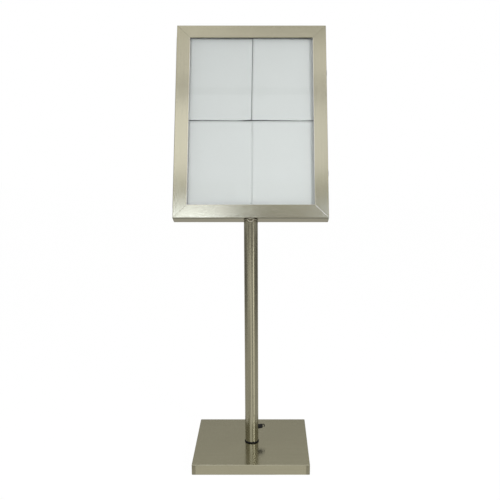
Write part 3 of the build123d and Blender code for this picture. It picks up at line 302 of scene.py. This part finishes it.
def weld_bead(name, line, thick, closed):
    """A rippled bead of weld along a line of points, as thick as thick says at each of them."""
    corners = []
    for i, point in enumerate(line):
        ahead = line[(i + 1) % len(line)] if closed or i + 1 < len(line) else point
        behind = line[i - 1] if closed or i else point
        run = (ahead - behind).normalized()
        out = Vector((point.x, point.y, 0.0)).normalized()
        out = (out - run * out.dot(run)).normalized()
        up = run.cross(out)
        for k in range(BEAD_SIDES):
            turn = 2 * math.pi * k / BEAD_SIDES
            corners.append(point + thick[i] * (out * math.cos(turn) + up * math.sin(turn)))
    rings = len(line) if closed else len(line) - 1
    faces = []
    for i in range(rings):
        here, there = i * BEAD_SIDES, (i + 1) % len(line) * BEAD_SIDES
        for k in range(BEAD_SIDES):
            after = (k + 1) % BEAD_SIDES
            faces.append((here + k, here + after, there + after, there + k))
    if not closed:
        last = (len(line) - 1) * BEAD_SIDES
        faces += [tuple(range(BEAD_SIDES))[::-1], tuple(range(last, last + BEAD_SIDES))]
    bead = piece(name, corners, faces, weld_steel, "stand")
    bead.data.shade_smooth()


def fused_weld(place):
    scale = mottle(place, 900.0, 3.0)
    tint = mottle(place, 160.0)
    return {
        "Base Color": tint.blend((0.32, 0.296, 0.208), (0.83, 0.80, 0.67)),
        "Roughness": 0.18 + 0.25 * scale,
        "Normal": scale.relief(0.00008),
    }


weld_steel = finish("weld_steel", fused_weld, Metallic=1.0)


def head_edge(turn, below):
    """A point of the tube's outside at a turn round it, that far below the sloping cut."""
    x, y = TUBE_RADIUS * math.cos(turn), TUBE_RADIUS * math.sin(turn)
    level = -GASKET_THICK - below
    return Vector((x, y, FACE_FOOT.z + (level - (y - FACE_FOOT.y) * UP_FACE.y) / UP_FACE.z))


turns = [2 * math.pi * i / HEAD_STEPS for i in range(HEAD_STEPS)]
weld_bead(
    "head_weld",
    [head_edge(t, BEAD_BELOW) for t in turns],
    [0.0010 + 0.00018 * math.sin(37 * t) + 0.00014 * math.sin(11 * t + 1.0) for t in turns],
    True,
)
sweep = [math.pi * i / PLUG_STEPS for i in range(PLUG_STEPS + 1)]
weld_bead(
    "plug_weld",
    [head_edge(PLUG_TURN + PLUG_HALF * math.cos(t), BEAD_BELOW + PLUG_DROP * math.sin(t)) for t in sweep],
    [0.0012 + 0.0003 * math.sin(9 * t) + 0.0003 * math.sin(t + 0.8) for t in sweep],
    False,
)


# Power inlet: a round panel socket of black moulded plastic low on the pole, held by
# a nut inside the tube. A rubber cap with a pull tab keeps the rain out.
def eroded_plastic(place):
    spark = mottle(place, 2600.0)
    wear = mottle(place, 120.0, 3.0)
    return {
        "Base Color": wear.blend((0.006, 0.006, 0.006), (0.018, 0.018, 0.018)),
        "Roughness": 0.34 + 0.2 * spark,
        "Normal": spark.relief(0.00006),
    }


dress(finish("socket_plastic", eroded_plastic, Specular_IOR_Level=0.15), "power_socket", "socket_nut")
dress(black_rubber, "socket_cap")


# Cable: the mains lead from the inlet up inside the pole into the case, where a
# rubber grommet lines the hole. The sheath is extruded and slightly shiny.
def extruded_sheath(place):
    ripple = mottle(place, 700.0)
    scuff = mottle(place, 60.0, 3.0)
    return {
        "Base Color": scuff.blend((0.013, 0.013, 0.014), (0.034, 0.034, 0.035)),
        "Roughness": 0.36 + 0.2 * scuff,
        "Normal": ripple.relief(0.00004),
    }


cable_sheath = finish("cable_sheath", extruded_sheath)
dress(cable_sheath, "pole_cable")
dress(black_rubber, "cable_grommet")


# Case: four walls of brushed stainless sheet welded into a tray, each brushed along
# its length. A flat cover closes the back with pan head screws.
steel_across = finish("steel_brushed_across", brushed(ACROSS, 0.00005, 0.10), Metallic=1.0)
steel_upward = finish("steel_brushed_upward", brushed(UP_FACE, 0.00007, 0.075), Metallic=1.0)
dress(steel_across, "case_wall_top", "case_wall_bottom")
dress(steel_upward, "case_wall_left", "case_wall_right", "back_cover")
dress(zinc_hardware, "back_cover_screws")


# Backing board: a dark coated sheet that the notices lie on, screwed to standoffs on
# the back cover. The coating is satin, with a fine orange peel.
def satin_coating(place):
    peel = mottle(place, 700.0)
    dust = mottle(place, 25.0, 5.0)
    return {
        "Base Color": dust.blend((0.020, 0.021, 0.022), (0.040, 0.041, 0.042)),
        "Roughness": 0.42 + 0.2 * dust,
        "Normal": peel.relief(0.00006),
    }


dress(finish("dark_board", satin_coating), "backing_board")
dress(zinc_hardware, "board_standoffs", "board_screws")


# Notices: four plain A4 sheets side by side on the board, laid in by hand a little above
# their places. Each waves slightly and has edges that lift a little, as paper does outdoors.
def wood_free_paper(place):
    fibres = mottle(place, 1400.0, 3.0)
    cloud = mottle(place, 11.0, 3.0)
    return {
        "Base Color": (0.5 * fibres + 0.5 * cloud).blend((0.75, 0.768, 0.745), (0.81, 0.828, 0.805)),
        "Roughness": 0.82 + 0.1 * fibres,
        "Normal": fibres.relief(0.00004),
    }


paper = finish("paper", wood_free_paper)
PAPER_WIDE, PAPER_HIGH, PAPER_THICK = 0.210, 0.297, 0.0001
COLUMNS, ROWS = 30, 42
PAPER_CLEAR, RIPPLE_HIGH, CURL_REACH = 0.00012, 0.00035, 0.05
SHEETS_UP = 0.0013


def notice(node, wave, lift, curled, slid=0.0):
    """A sheet of paper over its solid. Wave shifts its ripples and lift raises its edges; curled
    gives how far corners stand up, by their place across and up the sheet; slid moves it across."""
    flat = [c.co.copy() for c in solids[node].data.vertices]
    nearest = min(c.dot(INWARD) for c in flat)
    front = [c for c in flat if c.dot(INWARD) - nearest < 0.0001]
    low_left = min(front, key=lambda c: c.x + c.z)
    low_right = max(front, key=lambda c: c.x - c.z)
    top_left = min(front, key=lambda c: c.x - c.z)
    place = low_left + SHEETS_UP * UP_FACE + Vector((slid, 0.0, 0.0))
    corners = []
    for row in range(ROWS + 1):
        for column in range(COLUMNS + 1):
            s, t = column / COLUMNS, row / ROWS
            ripple = math.sin(5.1 * s + 2.3 * t + wave) * math.sin(3.7 * t + 1.6 * wave)
            edge = max((2 * s - 1) ** 6, (2 * t - 1) ** 8)
            height = PAPER_CLEAR + RIPPLE_HIGH * (1 + ripple) * (1 - edge) + lift * edge
            for (across, up), rise in curled.items():
                away = math.hypot(PAPER_WIDE * (s - across), PAPER_HIGH * (t - up))
                height += rise * max(0.0, 1 - away / CURL_REACH) ** 1.3
            corners.append(place + s * (low_right - low_left) + t * (top_left - low_left) - height * INWARD)
    wide = COLUMNS + 1
    faces = [
        (i, i + 1, i + wide + 1, i + wide)
        for row in range(ROWS)
        for i in range(row * wide, row * wide + COLUMNS)
    ]
    sheet = piece(node.replace("sheet", "notice"), corners, faces, paper, "stand")
    sheet.data.shade_smooth()
    body = sheet.modifiers.new("thickness", "SOLIDIFY")
    body.thickness = PAPER_THICK
    body.offset = -1.0
    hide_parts(node)


notice("sheet_upper_left", 0.4, 0.0003, {(1, 0): 0.0070})
notice("sheet_upper_right", 1.9, 0.0003, {(1, 0): 0.0040})
notice("sheet_lower_left", 3.1, 0.0, {(0, 0): 0.0008})
notice("sheet_lower_right", 4.4, 0.0, {(1, 0): 0.0010}, -0.0008)


# Lighting: an aluminium channel up each side with a strip of white diodes stuck in
# it. The driver sits behind the board and feeds them by two leads.
def die_drawn(place):
    lines = place.node("VectorMath", {"operation": "MULTIPLY"}, {0: place, 1: (1.0, 0.03, 0.03)})
    drag = mottle(lines, 2200.0)
    haze = mottle(place, 40.0, 3.0)
    return {
        "Base Color": haze.blend((0.50, 0.51, 0.52), (0.62, 0.63, 0.64)),
        "Roughness": 0.3 + 0.15 * haze,
        "Normal": drag.relief(0.00004),
    }


DIODE_PITCH, FIRST_DIODE, DIODES_IN = 0.033, 0.073, 0.0135
PAD_HALF = 0.0022


def from_nearest(place, first, pitch):
    """How far up or down the nearest of a row of places is, which starts at first up the slope."""
    return (up_slope(place) - (first - pitch / 2)) % pitch - pitch / 2


def white_strip(place):
    """White strip with a copper pad at every third diode, where it may be cut."""
    pads = abs(from_nearest(place, FIRST_DIODE + 2 * DIODE_PITCH, 3 * DIODE_PITCH)) < PAD_HALF
    gloss = mottle(place, 500.0)
    return {
        "Base Color": pads.blend(gloss.blend((0.76, 0.77, 0.75), (0.84, 0.84, 0.82)), (0.72, 0.45, 0.20)),
        "Roughness": 0.28 + 0.15 * gloss,
        "Metallic": pads * 0.9,
    }


def diode(place):
    """White resin round a yellow dot of phosphor, told apart by the squared distance from its middle."""
    off_up = from_nearest(place, FIRST_DIODE, DIODE_PITCH)
    off_in = place.along(INWARD) - (INWARD.dot(FACE_FOOT) + DIODES_IN)
    resin = (off_up * off_up + off_in * off_in).rise(0.0000009, 0.0000017)
    grain = mottle(place, 2400.0)
    return {
        "Base Color": resin.blend(grain.blend((0.80, 0.62, 0.16), (0.90, 0.74, 0.26)), (0.80, 0.80, 0.77)),
        "Roughness": 0.25 + 0.25 * resin,
    }


def driver_case(place):
    spark = mottle(place, 1500.0)
    shade = mottle(place, 30.0, 3.0)
    return {
        "Base Color": shade.blend((0.62, 0.62, 0.60), (0.72, 0.72, 0.70)),
        "Roughness": 0.4 + 0.2 * spark,
        "Normal": spark.relief(0.00006),
    }


dress(finish("channel_aluminium", die_drawn, Metallic=1.0), "led_channel_left", "led_channel_right")
dress(finish("strip_white", white_strip), "led_strip_left", "led_strip_right")
dress(finish("diode_yellow", diode), "led_chips")
dress(finish("driver_plastic", driver_case), "led_driver")
dress(cable_sheath, "led_leads")


# Door: two rails and two stiles folded from stainless sheet, mitred and welded at the
# corners. Each is brushed along its own length up to the mitre.
DOOR_WIDE, DOOR_HIGH, RAIL_WIDE = 0.500, 0.674, 0.045
EDGE_BELOW = 0.001
WINDOW_EDGE_HIGHLIGHT = (0.92, 0.91, 0.85)
FOLD_SHADE = (0.096, 0.09, 0.064)
MITRE_STEPS, MITRE_SHORT, FLUSH = 12, 0.0015, 0.00001


def rail_sheet(place):
    """Sheet brushed along the rail, with painted shade along the fold below and a painted highlight on the
    window's sill.
    """
    sheet = brushed(ACROSS, 0.00006, 0.10)(place)
    up = up_slope(place)
    from_edge = (up + EDGE_BELOW) % (DOOR_HIGH - RAIL_WIDE)  # both rails alike, from just below each
    # Painted shade in a band just above the lower edge of each rail.
    fold = 1 - from_edge.rise(0.0014, 0.0034)
    # Painted highlight along the upper edge of the lower rail, at the window.
    sill = up.rise(RAIL_WIDE - 0.0016, RAIL_WIDE - 0.0006) * (up < 2 * RAIL_WIDE)
    folded = (0.5 * fold).blend(sheet["Base Color"], FOLD_SHADE)
    sheet["Base Color"] = (0.9 * sill).blend(folded, WINDOW_EDGE_HIGHLIGHT)
    return sheet


def stile_sheet(place):
    """Sheet brushed up the stile, with a painted highlight along the fold at the window."""
    sheet = brushed(UP_FACE, 0.00007, 0.075)(place)
    inner = DOOR_WIDE / 2 - RAIL_WIDE
    fold = 1 - abs(place.along(ACROSS)).rise(inner + 0.0006, inner + 0.0018)
    # Painted highlight along the fold at the window.
    sheet["Base Color"] = (0.9 * fold).blend(sheet["Base Color"], WINDOW_EDGE_HIGHLIGHT)
    return sheet


dress(finish("rail_steel", rail_sheet, Metallic=1.0), "door_rail_top", "door_rail_bottom")
dress(finish("stile_steel", stile_sheet, Metallic=1.0), "door_stile_left", "door_stile_right")


def on_door(across, up, proud):
    """A point on the door's front, from the middle of its lower edge."""
    return FACE_FOOT + Vector((across, 0.0, 0.0)) + up * UP_FACE - proud * INWARD


def ground_weld(dull, bright):
    """Paint for weld that is ground flush: scratched by the grit, between two colours."""

    def paint(place):
        grit = mottle(place, 700.0, 3.0)
        return {
            "Base Color": grit.blend(dull, bright),
            "Roughness": 0.2 + 0.15 * grit,
            "Normal": grit.relief(0.00002),
        }

    return paint


dull_weld = finish("dull_weld", ground_weld((0.16, 0.15, 0.106), (0.288, 0.272, 0.192)), Metallic=1.0)
# This weld's near-white colour is a painted highlight.
highlight_weld = finish("highlight_weld", ground_weld((0.90, 0.88, 0.80), (0.96, 0.95, 0.90)), Metallic=1.0)


def mitre_line(name, side, top, wide, proud, material):
    """The weld along one mitre, ground almost flush: a low ridge from corner to window."""
    corners = []
    for step in range(MITRE_STEPS + 1):
        reach = MITRE_SHORT + (RAIL_WIDE - 2 * MITRE_SHORT) * step / MITRE_STEPS
        across = side * (DOOR_WIDE / 2 - reach)
        up = DOOR_HIGH - reach if top else reach
        half = wide * (1 + 0.25 * math.sin(5.0 * step + side)) / 2
        aside = half if top else -half
        corners += [
            on_door(across + aside, up - side * half, FLUSH),
            on_door(across, up, proud),
            on_door(across - aside, up + side * half, FLUSH),
        ]
    faces = []
    for i in range(0, 3 * MITRE_STEPS, 3):
        faces += [(i, i + 1, i + 4, i + 3), (i + 1, i + 2, i + 5, i + 4)]
    piece(name, corners, faces, material, "door")


# The lower right mitre takes the painted highlight; the others are dull weld.
mitre_line("mitre_lower_right", 1, False, 0.0005, 0.00008, highlight_weld)
mitre_line("mitre_lower_left", -1, False, 0.0006, 0.00004, dull_weld)
mitre_line("mitre_upper_right", 1, True, 0.0005, 0.00004, dull_weld)
mitre_line("mitre_upper_left", -1, True, 0.0006, 0.00004, dull_weld)


# Glazing: a clear pane laid on a rubber gasket inside the door, held by four folded
# beads on welded studs with plated nuts.
WHITE = (1.0, 1.0, 1.0, 1.0)


def clear_pane(name):
    """Glass to look through, which mirrors more the flatter it is seen and where it is hazy."""
    material = bpy.data.materials.new(name)
    material.use_nodes = True
    tree = material.node_tree
    tree.nodes.remove(tree.nodes["Principled BSDF"])
    place = surface(tree)
    haze = mottle(place, 18.0, 3.0)
    through = place.node("BsdfTransparent", {}, {"Color": (0.988, 0.995, 0.997, 1.0)})
    mirror = place.node("BsdfGlossy", {}, {"Color": WHITE, "Roughness": 0.03})
    edge_on = place.node("Fresnel", {}, {"IOR": 1.45})
    pane = place.node("MixShader", {}, {0: edge_on * (0.3 + 0.1 * haze), 1: through, 2: mirror})
    tree.links.new(pane.output, tree.nodes["Material Output"].inputs["Surface"])
    return material


def rubber_with_painted_light(place):
    """Rubber painted pale grey as painted light, with cloudy variation, and dark under the top rail as
    painted shade.
    """
    dust = mottle(place, 60.0, 4.0)
    window_top = DOOR_HIGH - RAIL_WIDE
    # Painted shade along the gasket's run under the top rail.
    top_rail_shade = up_slope(place).rise(window_top - 0.011, window_top - 0.002)
    # The pale grey is painted light on the side and bottom runs.
    grey = dust.blend((0.40, 0.405, 0.385), (0.48, 0.485, 0.46))
    return {
        "Base Color": top_rail_shade.blend(grey, (0.09, 0.092, 0.085)),
        "Roughness": 0.6 + 0.25 * dust,
        "Normal": mottle(place, 1500.0).relief(0.00005),
    }


dress(clear_pane("clear_glass"), "glass_pane")
dress(finish("gasket_rubber", rubber_with_painted_light, Specular_IOR_Level=0.25), "glazing_gasket")
dress(zinc_hardware, "glazing_beads", "bead_studs")


# Hinge: a long stainless piano hinge down the left side, one leaf on the case and one
# on the door, with a drawn pin through the knuckles.
dress(machined_steel, "hinge_case_leaf", "hinge_door_leaf", "hinge_pin")


# Door seal: a black rubber strip round the front of the case, glued on, which the
# closed door presses on.
dress(black_rubber, "door_seal")


# Locks: two barrels through the right wall with a nut inside. A key turns each plug
# and its cam, which catches a hook on the door.
def chrome_plate(place):
    swirl = mottle(place, 1300.0, 3.0)
    touch = mottle(place, 160.0, 3.0)
    return {
        "Base Color": touch.blend((0.50, 0.51, 0.52), (0.60, 0.61, 0.62)),
        "Roughness": 0.07 + 0.12 * touch,
        "Normal": swirl.relief(0.00001),
    }


PLUG_FACE = 0.252


def worn_plug(place):
    """Nickel rubbed by keys, with painted shade in the keyway below its face."""
    rub = mottle(place, 420.0, 3.0)
    # Painted shade where the keyway lies below the plug's face.
    deep = 1 - place.along(ACROSS).rise(PLUG_FACE - 0.0002, PLUG_FACE + 0.0002)
    nickel = rub.blend((0.22, 0.21, 0.18), (0.32, 0.31, 0.27))
    return {
        "Base Color": deep.blend(nickel, (0.020, 0.019, 0.017)),
        "Roughness": 0.22 + 0.12 * rub + 0.3 * deep,
        "Normal": rub.relief(0.00001),
    }


dress(zinc_hardware, "door_hooks", "lock_nuts", "lock_cam_upper", "lock_cam_lower")
dress(finish("lock_chrome", chrome_plate, Metallic=1.0), "lock_barrels")
dress(finish("lock_nickel", worn_plug, Metallic=1.0), "lock_plug_upper", "lock_plug_lower")


# Studio: a white floor and surround, cards and panels that only the steel and the glass
# mirror, two lamps for what is dull, and the camera. None of it is part of the display.
scene = bpy.context.scene
scene.view_settings.view_transform = "Standard"
DULL_LEVEL = 0.45
FLOOR_REACH = 9.0


def seen_directly(tree):
    """1 for rays from the camera, mirrors and glass, 0 for light that bounces off dull surfaces."""
    kinds = ("Is Camera Ray", "Is Glossy Ray", "Is Transmission Ray")
    camera_ray, mirror_ray, glass_ray = (Field(tree).node("LightPath", {}, {}, kind) for kind in kinds)
    return camera_ray.maths("MINIMUM", camera_ray + mirror_ray + glass_ray, 1.0)


surround = bpy.data.worlds.new("surround")
scene.world = surround
surround.use_nodes = True
sky = surround.node_tree.nodes["Background"]
sky.inputs["Color"].default_value = WHITE
level = DULL_LEVEL + (1 - DULL_LEVEL) * seen_directly(surround.node_tree)
surround.node_tree.links.new(level.output, sky.inputs["Strength"])


def studio_panel(name, corners, shine):
    """A flat panel of the studio, not part of the display; shine makes its shader from the place on it."""
    material = bpy.data.materials.new(name)
    material.use_nodes = True
    tree = material.node_tree
    tree.links.new(shine(surface(tree)).output, tree.nodes["Material Output"].inputs["Surface"])
    mesh = bpy.data.meshes.new(name)
    mesh.from_pydata(corners, [], [tuple(range(len(corners)))])
    mesh.materials.append(material)
    made = bpy.data.objects.new(name, mesh)
    scene.collection.objects.link(made)
    return made


def white_sweep(place):
    """Matt white that takes shadows, and glows white where it is seen directly."""
    matt = Field(place.tree, place.tree.nodes["Principled BSDF"].outputs[0])
    matt.output.node.inputs["Base Color"].default_value = (0.9, 0.9, 0.9, 1.0)
    matt.output.node.inputs["Roughness"].default_value = 0.9
    glow = place.node("Emission", {}, {"Color": WHITE, "Strength": 1.04})
    return place.node("MixShader", {}, {0: 0.93 * seen_directly(place.tree), 1: matt, 2: glow})


floor_corners = [(FLOOR_REACH * x, FLOOR_REACH * y, 0.0) for x, y in ((-1, -1), (1, -1), (1, 1), (-1, 1))]
studio_panel("floor", floor_corners, white_sweep)


def mirrored_card(name, corners, shine):
    """A panel left to the mirrors alone: it neither shows, nor shades, nor lights."""
    card = studio_panel(name, corners, shine)
    card.visible_camera = card.visible_diffuse = card.visible_transmission = card.visible_shadow = False


def toned(tone, tint):
    """A tint, as bright as a tone says."""
    return tuple(tone * part for part in tint)


# Cards on the floor, which the pole and the showcase's underside mirror. Bearings are in
# degrees round the pole from straight in front, to the right; reaches are from its middle.
CLOTH_TINT = (1.0, 0.98, 0.93)
SHADE = 0.62
ON_FLOOR, UNDER_CARDS = 0.002, 0.001


def floor_card(name, bearings, reaches, tone, far_tone=None, height=ON_FLOOR):
    """A card between two bearings and two reaches, all in one tone or fading into another far away."""
    (start, stop), (near, far) = bearings, reaches
    corners = []
    for reach, around in ((near, (start, stop)), (far, (stop, (start + stop) / 2, start))):
        for turn in map(math.radians, around):
            corners.append((reach * math.sin(turn), -reach * math.cos(turn), height))
    ends = [toned(tone, CLOTH_TINT), toned(tone if far_tone is None else far_tone, CLOTH_TINT)]

    def shine(place):
        away = place.node("VectorMath", {"operation": "LENGTH"}, {0: place}, "Value")
        return place.node("Emission", {}, {"Color": away.rise(0.5, 2.8).blend(*ends)})

    mirrored_card(name, corners, shine)


floor_card("cloth_right", (52.0, 145.0), (0.30, 7.0), 0.47, 0.15)
floor_card("cloth_left", (-145.0, -67.0), (0.30, 7.0), 0.49, 0.16)
floor_card("cloth_far", (-60.0, 45.0), (7.0, 12.0), 0.16)
floor_card("card_behind", (146.0, 214.0), (0.30, 7.0), 0.51)
floor_card("card_near", (-50.0, 50.0), (0.20, 0.34), 0.72)
floor_card("shade_near", (-66.0, -12.0), (0.35, 2.3), 0.48)
floor_card("pale_near", (-10.0, 14.0), (0.35, 2.3), 0.81)
floor_card("grey_near", (16.0, 30.0), (0.35, 2.3), 0.31)
floor_card("bright_near", (36.0, 51.0), (0.35, 2.3), 1.25)
floor_card("shade_far", (-66.0, -56.0), (2.31, 7.0), 0.26)
floor_card("pale_far", (-30.0, 5.0), (2.3, 5.0), 0.87)
floor_card("grey_far", (8.0, 26.0), (2.3, 5.0), 0.37)
floor_card("bright_far", (32.0, 51.0), (2.3, 5.0), 1.56)
floor_card("cloth_front", (-66.0, 52.0), (0.35, 7.0), SHADE, height=UNDER_CARDS)
floor_card("grey_end", (-55.0, 51.0), (5.0, 7.0), 0.12)


# Walls, which the base mirrors, and the pole by way of the base. Two in front are cool
# and bright, the rest warm and dim.
WARM, COOL = (1.0, 0.98, 0.90), (0.96, 1.0, 1.2)


def upright_card(name, left, right, heights, tone, tint=WARM, head_tone=None):
    """A card over a line on the floor, between two heights, all in one tone or fading into
    another at its head."""
    low, high = heights
    ends = [toned(tone, tint), toned(tone if head_tone is None else head_tone, tint)]

    def shine(place):
        return place.node("Emission", {}, {"Color": place.along(UP).rise(low, high).blend(*ends)})

    mirrored_card(name, [(*left, low), (*right, low), (*right, high), (*left, high)], shine)


upright_card("wall_back", (-2.5, 3.0), (2.5, 3.0), (0.3, 2.6), 0.33, head_tone=0.62)
upright_card("wall_high", (-1.2, 3.0), (1.2, 3.0), (2.6, 4.0), 0.28)
upright_card("wall_left", (-2.2, -0.5), (-2.2, 1.7), (1.45, 2.65), 0.45)
upright_card("wall_right", (2.2, -0.5), (2.2, 1.7), (1.45, 2.65), 0.45)
upright_card("wall_front", (-2.2, -3.4), (0.7, -3.4), (1.2, 2.1), 1.30, COOL)
upright_card("wall_between", (0.7, -3.4), (2.35, -3.4), (1.0, 2.3), 0.40)
upright_card("strip_front", (2.35, -3.4), (3.7, -3.4), (1.2, 2.1), 4.40, COOL)
upright_card("wall_far_left", (-2.2, -3.4), (-4.5, 1.0), (1.0, 2.3), 0.32)
upright_card("wall_far_right", (3.7, -3.4), (4.5, 1.0), (1.0, 2.3), 0.32)
upright_card("corner_left", (-4.5, 1.0), (-2.5, 3.0), (0.8, 2.3), 0.30)
upright_card("corner_right", (4.5, 1.0), (2.5, 3.0), (0.8, 2.3), 0.30)


# Panels high in front, which the door and the glass mirror: soft lights one above the
# other, a dark slot between them, and cards for the lower rail.
SOFT_SIDES = 0.3
NEUTRAL, BLUE = (1.0, 1.0, 1.0), (0.95, 1.03, 1.35)
IVORY, LILAC, ICE, SKY = (1.0, 0.99, 0.97), (1.0, 0.99, 1.02), (1.0, 1.0, 1.05), (0.96, 1.04, 1.28)


def soft_light(name, sides, heights, distance, soft, turn, tones, tint):
    """A panel between two sides and two heights, with soft edges. Across it one tone turns into
    another between two places, and its foot is a little brighter than its head."""
    (left, right), (low, high), y = sides, heights, -distance
    ends = [toned(tone, tint) for tone in tones]

    def shine(place):
        across, up = place.along(ACROSS), place.along(UP)
        lit_across = across.rise(left, left + SOFT_SIDES) * (1 - across.rise(right - SOFT_SIDES, right))
        lit_up = up.rise(low, low + soft) * (1 - up.rise(high - soft, high))
        lit = lit_across * lit_up * (1.1 - 0.1 * up.rise(low, high))
        glow = lit.blend(toned(SHADE, NEUTRAL), across.rise(*turn).blend(*ends))
        return place.node("Emission", {}, {"Color": glow})

    mirrored_card(name, [(left, y, low), (right, y, low), (right, y, high), (left, y, high)], shine)


soft_light("light_above", (-2.2, 2.4), (4.36, 5.40), 1.88, 0.10, (-0.36, -0.02), (1.01, 0.65), IVORY)
soft_light("light_top", (-2.2, 2.4), (3.72, 4.46), 1.90, 0.06, (-0.40, 0.40), (1.07, 1.15), LILAC)
soft_light("light_high", (-2.2, 2.2), (2.84, 3.80), 1.92, 0.06, (-0.40, 0.40), (1.42, 1.19), ICE)
soft_light("light_left", (-0.8, 0.2), (1.80, 2.75), 1.95, 0.19, (-0.27, -0.21), (3.20, 0.51), SKY)
upright_card("wall_beyond", (-2.6, -1.97), (2.6, -1.97), (1.4, 5.8), SHADE)
upright_card("light_slot", (-2.2, -1.89), (2.2, -1.89), (3.70, 3.785), 0.06)
upright_card("card_low", (-0.10, -1.94), (0.22, -1.94), (2.30, 2.60), 0.42, NEUTRAL)
upright_card("card_low_end", (0.22, -1.94), (0.41, -1.94), (2.20, 2.62), 0.34, NEUTRAL)
upright_card("card_low_right", (0.44, -1.94), (1.20, -1.94), (2.42, 2.66), 1.90, BLUE)


# Lamps, which light what is dull, and the camera, which stands where the photograph was taken.
# Each lamp is a lit rectangle, nearly upright and turned towards the showcase.
LAMP_TILT = math.radians(85.0)


def lamp(name, size, energy, location, turn):
    """A lamp for what is dull: a lit rectangle that neither shows nor is mirrored."""
    light = bpy.data.lights.new(name, "AREA")
    light.shape = "RECTANGLE"
    light.size, light.size_y = size
    light.energy = energy
    made = bpy.data.objects.new(name, light)
    made.location = location
    made.rotation_euler = (LAMP_TILT, 0.0, math.radians(turn))
    made.visible_camera = made.visible_glossy = False
    scene.collection.objects.link(made)


lamp("lamp_right", (0.5, 0.9), 29.0, (1.7, -2.4, 1.35), 34.0)
lamp("lamp_front", (1.6, 1.2), 16.0, (-0.3, -2.75, 1.15), -6.0)

lens = bpy.data.cameras.new("camera")
lens.sensor_width = 36.0
lens.lens = 56.966
lens.shift_x, lens.shift_y = -0.03322, 0.08282
camera = bpy.data.objects.new("camera", lens)
camera.location = (0.05074, -2.53106, 1.15787)
camera.rotation_euler = (math.radians(76.75), 0.0, 0.0)
scene.collection.objects.link(camera)
scene.camera = camera
